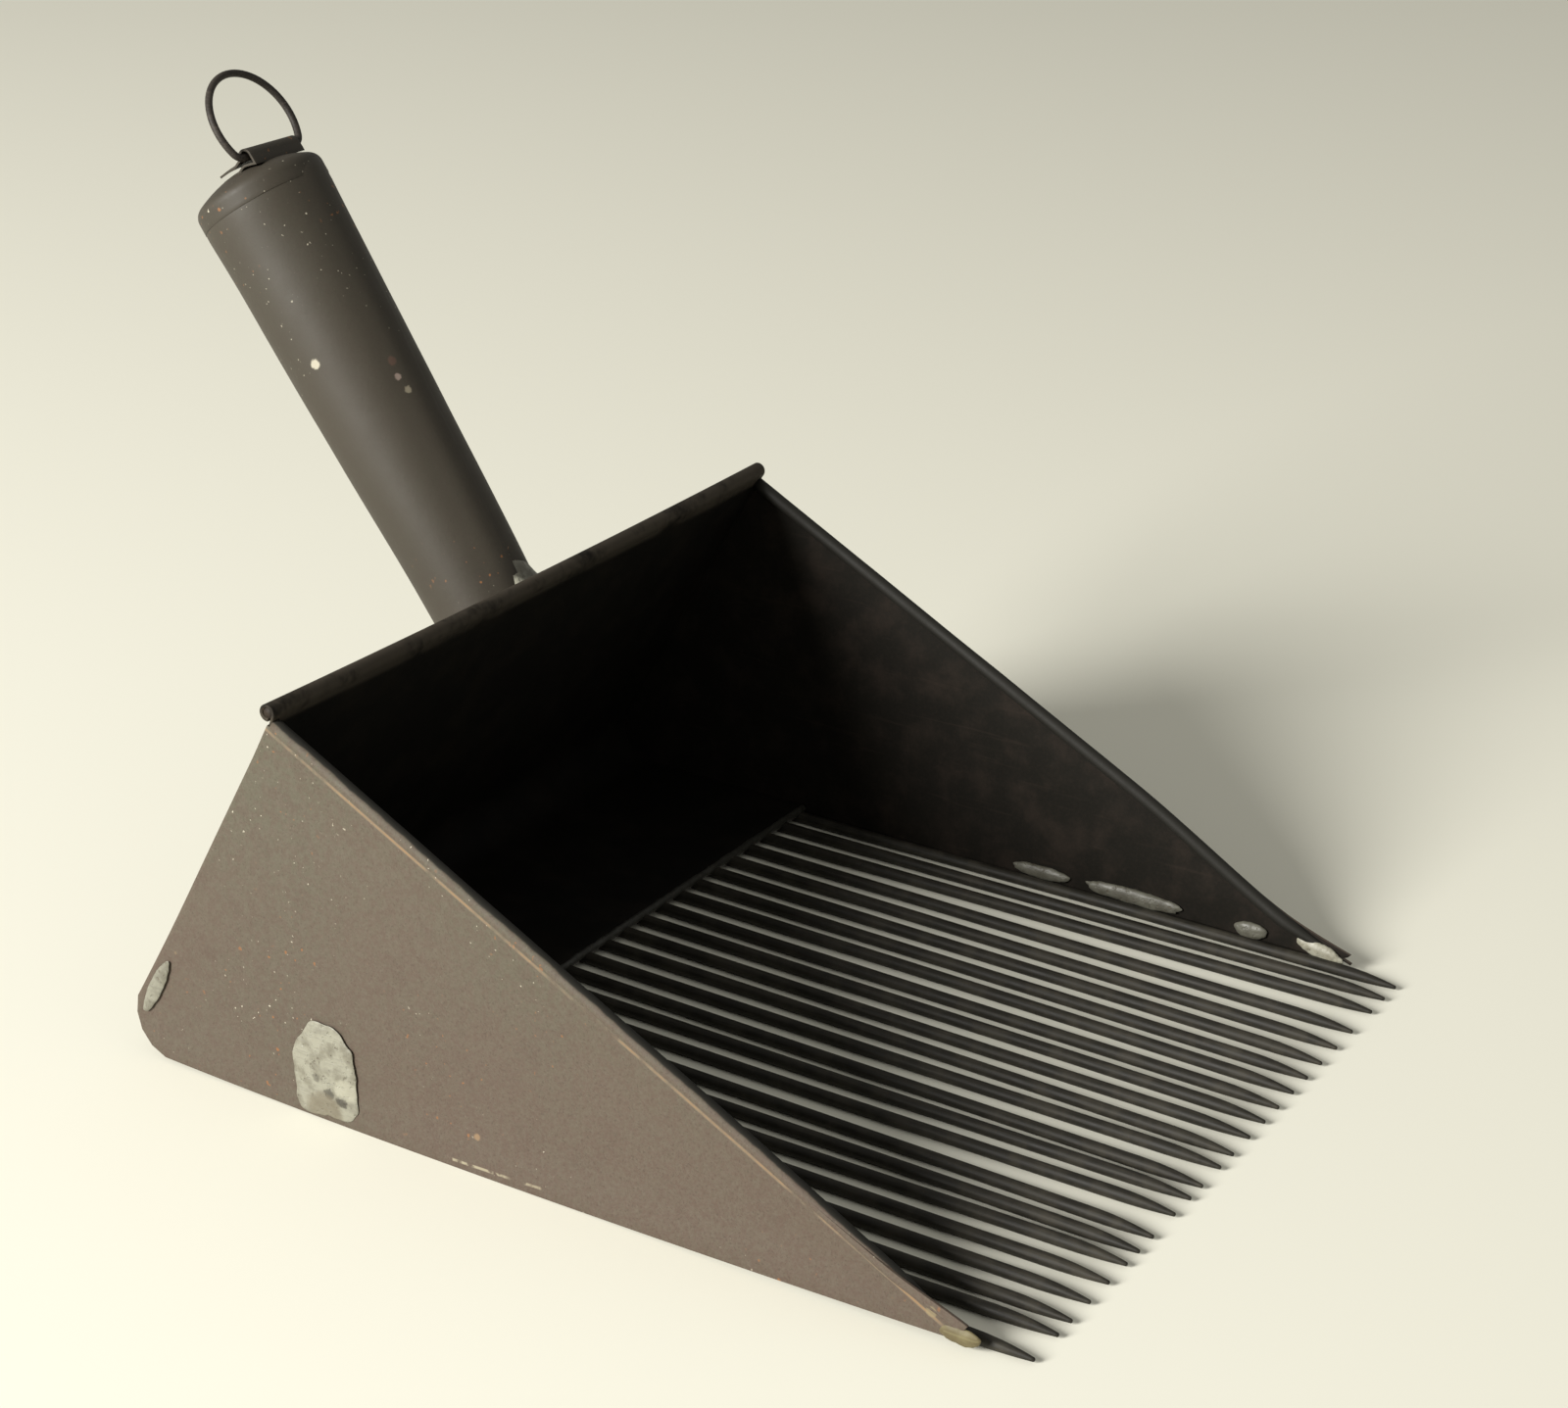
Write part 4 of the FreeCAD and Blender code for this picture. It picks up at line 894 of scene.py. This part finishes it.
def make_cap():
    shoulder_out = CAP_RADIUS - CAP_SHOULDER
    tilt = math.asin(shoulder_out / (DOME_RADIUS - CAP_SHOULDER))
    shoulder_along = DOME_CENTRE + (DOME_RADIUS - CAP_SHOULDER) * math.cos(tilt)
    profile = Outline((0, 0, DOME_CENTRE + DOME_RADIUS))
    profile.turn((0, 0, DOME_CENTRE), tilt, 12, (0, 1, 0))
    profile.turn((shoulder_out, 0, shoulder_along), math.pi / 2 - tilt, 8, (0, 1, 0))
    profile.run((CAP_RADIUS, 0, GRIP_LENGTH - CAP_SKIRT), 3)
    mesh = profile.spin_round((0, 0, 0), (0, 0, 1), 64)
    bmesh.ops.transform(mesh, matrix=grip_frame, verts=mesh.verts)
    bmesh.ops.recalc_face_normals(mesh, faces=mesh.faces)
    top = max(mesh.faces, key=lambda face: (face.calc_center_median() - grip_seat).dot(grip_axis))
    if top.normal.dot(grip_axis) < 0:
        bmesh.ops.reverse_faces(mesh, faces=mesh.faces)
    for vertex in mesh.verts:
        out = (vertex.co - grip_seat) - grip_axis * (vertex.co - grip_seat).dot(grip_axis)
        vertex.co -= out * (0.012 * (1 + wobble(vertex.co, 9 * MM, 31)) * 0.5)
        vertex.co -= grip_axis * (0.25 * MM * (1 + wobble(vertex.co, 12 * MM, 33)) * 0.5)
    finish = old_tin("cap_tin", shine=0.40, deep=0.12)
    thicken(make_piece("domed_cap", mesh, (finish,), "handle_cap"), CAP_GAUGE)


def make_strap():
    bar = Vector((0, -RING_OFFSET, seat_depth))
    dome = Vector((0, 0, DOME_CENTRE))
    top = DOME_RADIUS + 2 * STRAP_GAUGE
    lean = math.asin(RING_OFFSET / (DOME_RADIUS + KNUCKLE_RADIUS))
    entry = lean - 0.9 * KNUCKLE_RADIUS / top
    tail = math.asin(STRAP_TAIL / top)
    strip = Outline(dome + Vector((0, math.sin(tail), math.cos(tail))) * top)
    strip.turn(dome, tail + entry, 12)
    start = strip.tip.co - bar
    strip.tip.co = bar + start.normalized() * KNUCKLE_RADIUS
    around = math.radians(186) - math.atan2(start.z, start.y)
    strip.turn(bar, around, 16)
    toe = bar.y - KNUCKLE_RADIUS * 1.05
    strip.run((0, toe, DOME_CENTRE + math.sqrt(DOME_RADIUS ** 2 - toe ** 2)), 4)
    strip.turn(dome, -(math.asin(-toe / DOME_RADIUS) + tail * 0.8), 14)
    mesh = strip.draw_out(X_AXIS * (2 * STRAP_HALF / 18), 18)
    facing(mesh, (0, 0, 1))
    for vertex in mesh.verts:
        vertex.co.x -= STRAP_HALF
        across = vertex.co.x
        fall = DOME_RADIUS - math.sqrt(DOME_RADIUS ** 2 - across ** 2)
        laid = smooth_step(1.2 * MM, 5 * MM, vertex.co.y - bar.y)
        vertex.co.z -= fall * laid
        vertex.co.y += wobble(vertex.co, 7 * MM, 35) * 0.25 * MM * laid
    bmesh.ops.transform(mesh, matrix=grip_frame, verts=mesh.verts)
    finish = old_tin("strap_tin", shine=0.36, deep=0.14)
    thicken(make_piece("folded_strap", mesh, (finish,), "hanger_strap"), STRAP_GAUGE)


make_cap()
make_strap()
print("cap and strap made")

# %% [markdown]
# ## The hanging ring
# One wire bent to a straight bar with a round loop on it. Its round section is carried along the
# bar and turned about the two tight corners and the wide round, and it closes on itself. The ring
# swings in the strap, so it rides on its own body.

# %% Ring
RING_ROUND = 13.3 * MM
RING_RISE = 20.7 * MM
RING_CORNER = 3.0 * MM
RING_WIRE = 0.9 * MM


def make_ring():
    centre = RING_RISE - RING_ROUND
    half_bar = math.sqrt((RING_ROUND - RING_CORNER) ** 2 - (centre - RING_CORNER) ** 2)
    low = math.atan2(RING_CORNER - centre, half_bar)
    bend = math.pi / 2 + low
    mesh = bmesh.new()
    section = Matrix.Translation((-half_bar, 0, 0)) @ Matrix.Rotation(math.pi / 2, 4, "Y")
    bmesh.ops.create_circle(mesh, cap_ends=False, segments=18, radius=RING_WIRE, matrix=section)
    end = mesh.verts[:] + mesh.edges[:]
    turning = (0, -1, 0)
    stages = (((0, 0, 0), 0, (2 * half_bar / 10, 0, 0), 10), ((half_bar, 0, RING_CORNER), bend, (0, 0, 0), 8),
              ((0, 0, centre), math.tau - 2 * bend, (0, 0, 0), 44), ((-half_bar, 0, RING_CORNER), bend, (0, 0, 0), 8))
    for middle, angle, step, steps in stages:
        made = bmesh.ops.spin(mesh, geom=end, cent=middle, axis=turning, angle=angle, dvec=step, steps=steps)
        end = made["geom_last"]
    bmesh.ops.remove_doubles(mesh, verts=mesh.verts, dist=0.02 * MM)
    seat = Matrix.Translation(ring_bar) @ grip_frame.to_3x3().to_4x4()
    bmesh.ops.transform(mesh, matrix=seat, verts=mesh.verts)
    make_piece("hanging_loop", mesh, (ring_finish,), "hanging_ring", body="ring", turned=True)


ring_finish = drawn_wire("ring_steel", rgb(0.022, 0.018, 0.015), rgb(0.060, 0.050, 0.040), 0.40)
make_ring()
print("ring made")

# %% [markdown]
# ## The other solder
# A bead runs across the tines at the floor's front edge, and lumps hold the plates at their heels,
# noses and corner. Each lump is a ball pressed to a size, the imported model's at the heels and one
# listed here elsewhere, and then roughened. Solder that was wiped flat gets a rim that thins out.

# %% Beads and lumps
def as_it_is(ball):
    return ball


def cut_at_the_bottom(ball):
    """A ball with a broad flat foot."""
    low = max(0.0, -ball.z)
    return Vector((ball.x, ball.y * (1 + 0.55 * low * low), max(ball.z * 1.15, -1.0)))


def lump(name, node, finish, seed, half=None, middle=None, lean=0.0, rough=0.12, grain=4 * MM, pressed=as_it_is):
    """A pressed ball of solder that stands for a solder node."""
    mesh = bmesh.new()
    bmesh.ops.create_icosphere(mesh, subdivisions=5, radius=1)
    half = half or size_of(node) / 2
    middle = middle or middle_of(node)
    turn = Matrix.Rotation(lean, 3, "X")
    for vertex in mesh.verts:
        ball = pressed(vertex.co)
        place = Vector((ball.x * half.x, ball.y * half.y, ball.z * half.z))
        ragged = 1 + rough * (wobble(place, grain, seed) + 0.5 * wobble(place, grain / 3, seed + 1)) - rough * 0.7
        vertex.co = middle + turn @ (place * ragged)
    return make_piece(name, mesh, (finish,), node, turned=True)


def heel_lump(side, sign):
    node = f"{side}_heel_solder"
    low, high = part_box(node)
    middle = Vector((sign * half_width, (low.y + high.y) / 2, (low.z + high.z) / 2))
    half = Vector((0.72 * MM, (high.y - low.y) / 2 * 1.02, (high.z - low.z) / 2 * 1.04))
    lump(f"{side}_heel_patch", node, patch_solder, 41 + sign, half, middle, rough=0.10, grain=7 * MM,
         pressed=cut_at_the_bottom)


def place_inside(reach, height, sign):
    """A point on a plate's inner face, or on its outer face for the left one."""
    return Vector((sign * half_width, nose_y + reach, height))


def make_tine_bead():
    low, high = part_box("tine_solder")
    radius = (high.z - low.z) / 2
    steps = 330
    start = Matrix.Translation((low.x + 0.2 * MM, (low.y + high.y) / 2, high.z - radius))
    mesh = bmesh.new()
    bmesh.ops.create_circle(mesh, cap_ends=False, segments=14, radius=radius * 0.86,
                            matrix=start @ Matrix.Rotation(math.pi / 2, 4, "Y"))
    step = (high.x - low.x - 0.4 * MM) / steps
    bmesh.ops.spin(mesh, geom=mesh.verts[:] + mesh.edges[:], cent=(0, 0, 0), axis=X_AXIS, angle=0,
                   dvec=X_AXIS * step, steps=steps)
    bmesh.ops.holes_fill(mesh, edges=[edge for edge in mesh.edges if edge.is_boundary])
    core = start.translation
    for vertex in mesh.verts:
        out = Vector((0, vertex.co.y - core.y, vertex.co.z - core.z))
        swell = 0.16 * wobble(vertex.co, 3.5 * MM, 51) + 0.10 * wobble(vertex.co, 1.2 * MM, 53) - 0.06
        vertex.co += out * swell
    make_piece("tine_bead", mesh, (wiped_solder("bead_solder", 0.07),), "tine_solder", turned=True)


pitted = rgb(0.035, 0.030, 0.022)
patch_marks = (
    spot(on_left_plate(161.5 * MM, 7.4 * MM), 1.5 * MM, pitted, 0.75, 1.2),
    spot(on_left_plate(158.0 * MM, 6.4 * MM), 1.7 * MM, pitted, 0.85, 1.2),
    spot(on_left_plate(165.0 * MM, 10.5 * MM), 1.2 * MM, pitted, 0.5, 1.2),
    spot(on_left_plate(163.0 * MM, 2.5 * MM), 5.0 * MM, rgb(0.125, 0.105, 0.070), 0.7, 0.8),
    spot(on_left_plate(157.0 * MM, 9.5 * MM), 3.0 * MM, rgb(0.33, 0.32, 0.25), 0.6, 0.9))
patch_solder = wiped_solder("patch_solder", 0.50, patch_marks)
bright_solder = wiped_solder("bright_solder", 0.70)
smear_solder = wiped_solder("smear_solder", 0.42)
dull_solder = wiped_solder("dull_solder", 0.24)
yellow_solder = drawn_wire("nose_solder", rgb(0.10, 0.080, 0.040), rgb(0.19, 0.165, 0.085), 0.35)
heel_lump("left", -1)
heel_lump("right", 1)
lump("left_nose_patch", "left_nose_solder", yellow_solder, 46, Vector((0.9, 5.2, 2.2)) * MM,
     place_inside(1.8 * MM, 3.4 * MM, -1) + X_AXIS * 0.3 * MM, grain=3 * MM)
lump("right_nose_patch", "right_nose_solder", bright_solder, 48, Vector((1.3, 6.8, 2.3)) * MM,
     place_inside(8.0 * MM, 4.2 * MM, 1) - X_AXIS * 1.3 * MM, math.radians(13), grain=3 * MM)
corner_low, corner_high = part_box("left_corner_solder")
corner_middle = (corner_low + corner_high) / 2
corner_middle.x = -half_width
lump("left_corner_smear", "left_corner_solder", smear_solder, 57, Vector((0.40, 2.0, 8.9)) * MM, corner_middle, BACK_LEAN)
seam_lumps = ((27.0, 4.5, Vector((1.3, 5.2, 2.4))), (59.0, 4.6, Vector((1.3, 15.0, 2.4))), (86.0, 4.3, Vector((1.2, 9.0, 2.0))))
for seam_number, (reach, height, half_sizes) in enumerate(seam_lumps, start=1):
    lump(f"right_seam_bead_{seam_number}", f"right_seam_solder_{seam_number}", dull_solder, 60 + seam_number,
         half_sizes * MM, place_inside(reach * MM, height * MM, 1) - X_AXIS * 1.4 * MM)
make_tine_bead()
print("solder made")

# %% [markdown]
# ## Floor, light and camera
# The scoop lies on a pale cream surface. One large soft lamp stands low at the rear left, so that
# the plates shade the inside, and an even pale surround fills the rest.

# %% Stage
def make_ground():
    mesh = bmesh.new()
    bmesh.ops.create_grid(mesh, x_segments=1, y_segments=1, size=6.0)
    data = bpy.data.meshes.new("ground")
    mesh.to_mesh(data)
    mesh.free()
    ground = bpy.data.objects.new("ground", data)
    bpy.context.scene.collection.objects.link(ground)
    paper = bpy.data.materials.new("cream_paper")
    paper.use_nodes = True
    shader = paper.node_tree.nodes["Principled BSDF"]
    shader.inputs["Base Color"].default_value = rgb(0.86, 0.845, 0.735)
    shader.inputs["Roughness"].default_value = 0.9
    shader.inputs["Specular IOR Level"].default_value = 0.1
    data.materials.append(paper)
    return ground


def make_lamp(name, place, aim, size, power, colour):
    data = bpy.data.lights.new(name, "AREA")
    data.shape = "DISK"
    data.size = size
    data.energy = power
    data.color = colour
    lamp = bpy.data.objects.new(name, data)
    lamp.location = place
    lamp.rotation_euler = (Vector(aim) - Vector(place)).to_track_quat("-Z", "Y").to_euler()
    bpy.context.scene.collection.objects.link(lamp)
    return lamp


ground = make_ground()
key = make_lamp("key", (-2.2, 0.9, 1.0), (0, 0, 0.05), 1.0, 125, (1.0, 0.985, 0.95))
key.visible_camera = False

world = bpy.data.worlds.new("pale_surround")
world.use_nodes = True
world.node_tree.nodes["Background"].inputs["Color"].default_value = rgb(1.0, 0.99, 0.93)
world.node_tree.nodes["Background"].inputs["Strength"].default_value = 0.34
bpy.context.scene.world = world
bpy.context.scene.view_settings.view_transform = "Standard"

camera_data = bpy.data.cameras.new("view")
camera_data.sensor_width = 36.0
camera_data.lens = 75.51
camera = bpy.data.objects.new("view", camera_data)
bpy.context.scene.collection.objects.link(camera)
camera.location = (-0.5999, -0.3780, 0.3755)
swing = Matrix.Rotation(math.radians(-59.35), 3, "Z")
tilt = Matrix.Rotation(math.pi / 2 - math.radians(22.93), 3, "X")
roll = Matrix.Rotation(math.radians(1.98), 3, "Z")
camera.rotation_euler = (swing @ tilt @ roll).to_euler()
bpy.context.scene.camera = camera
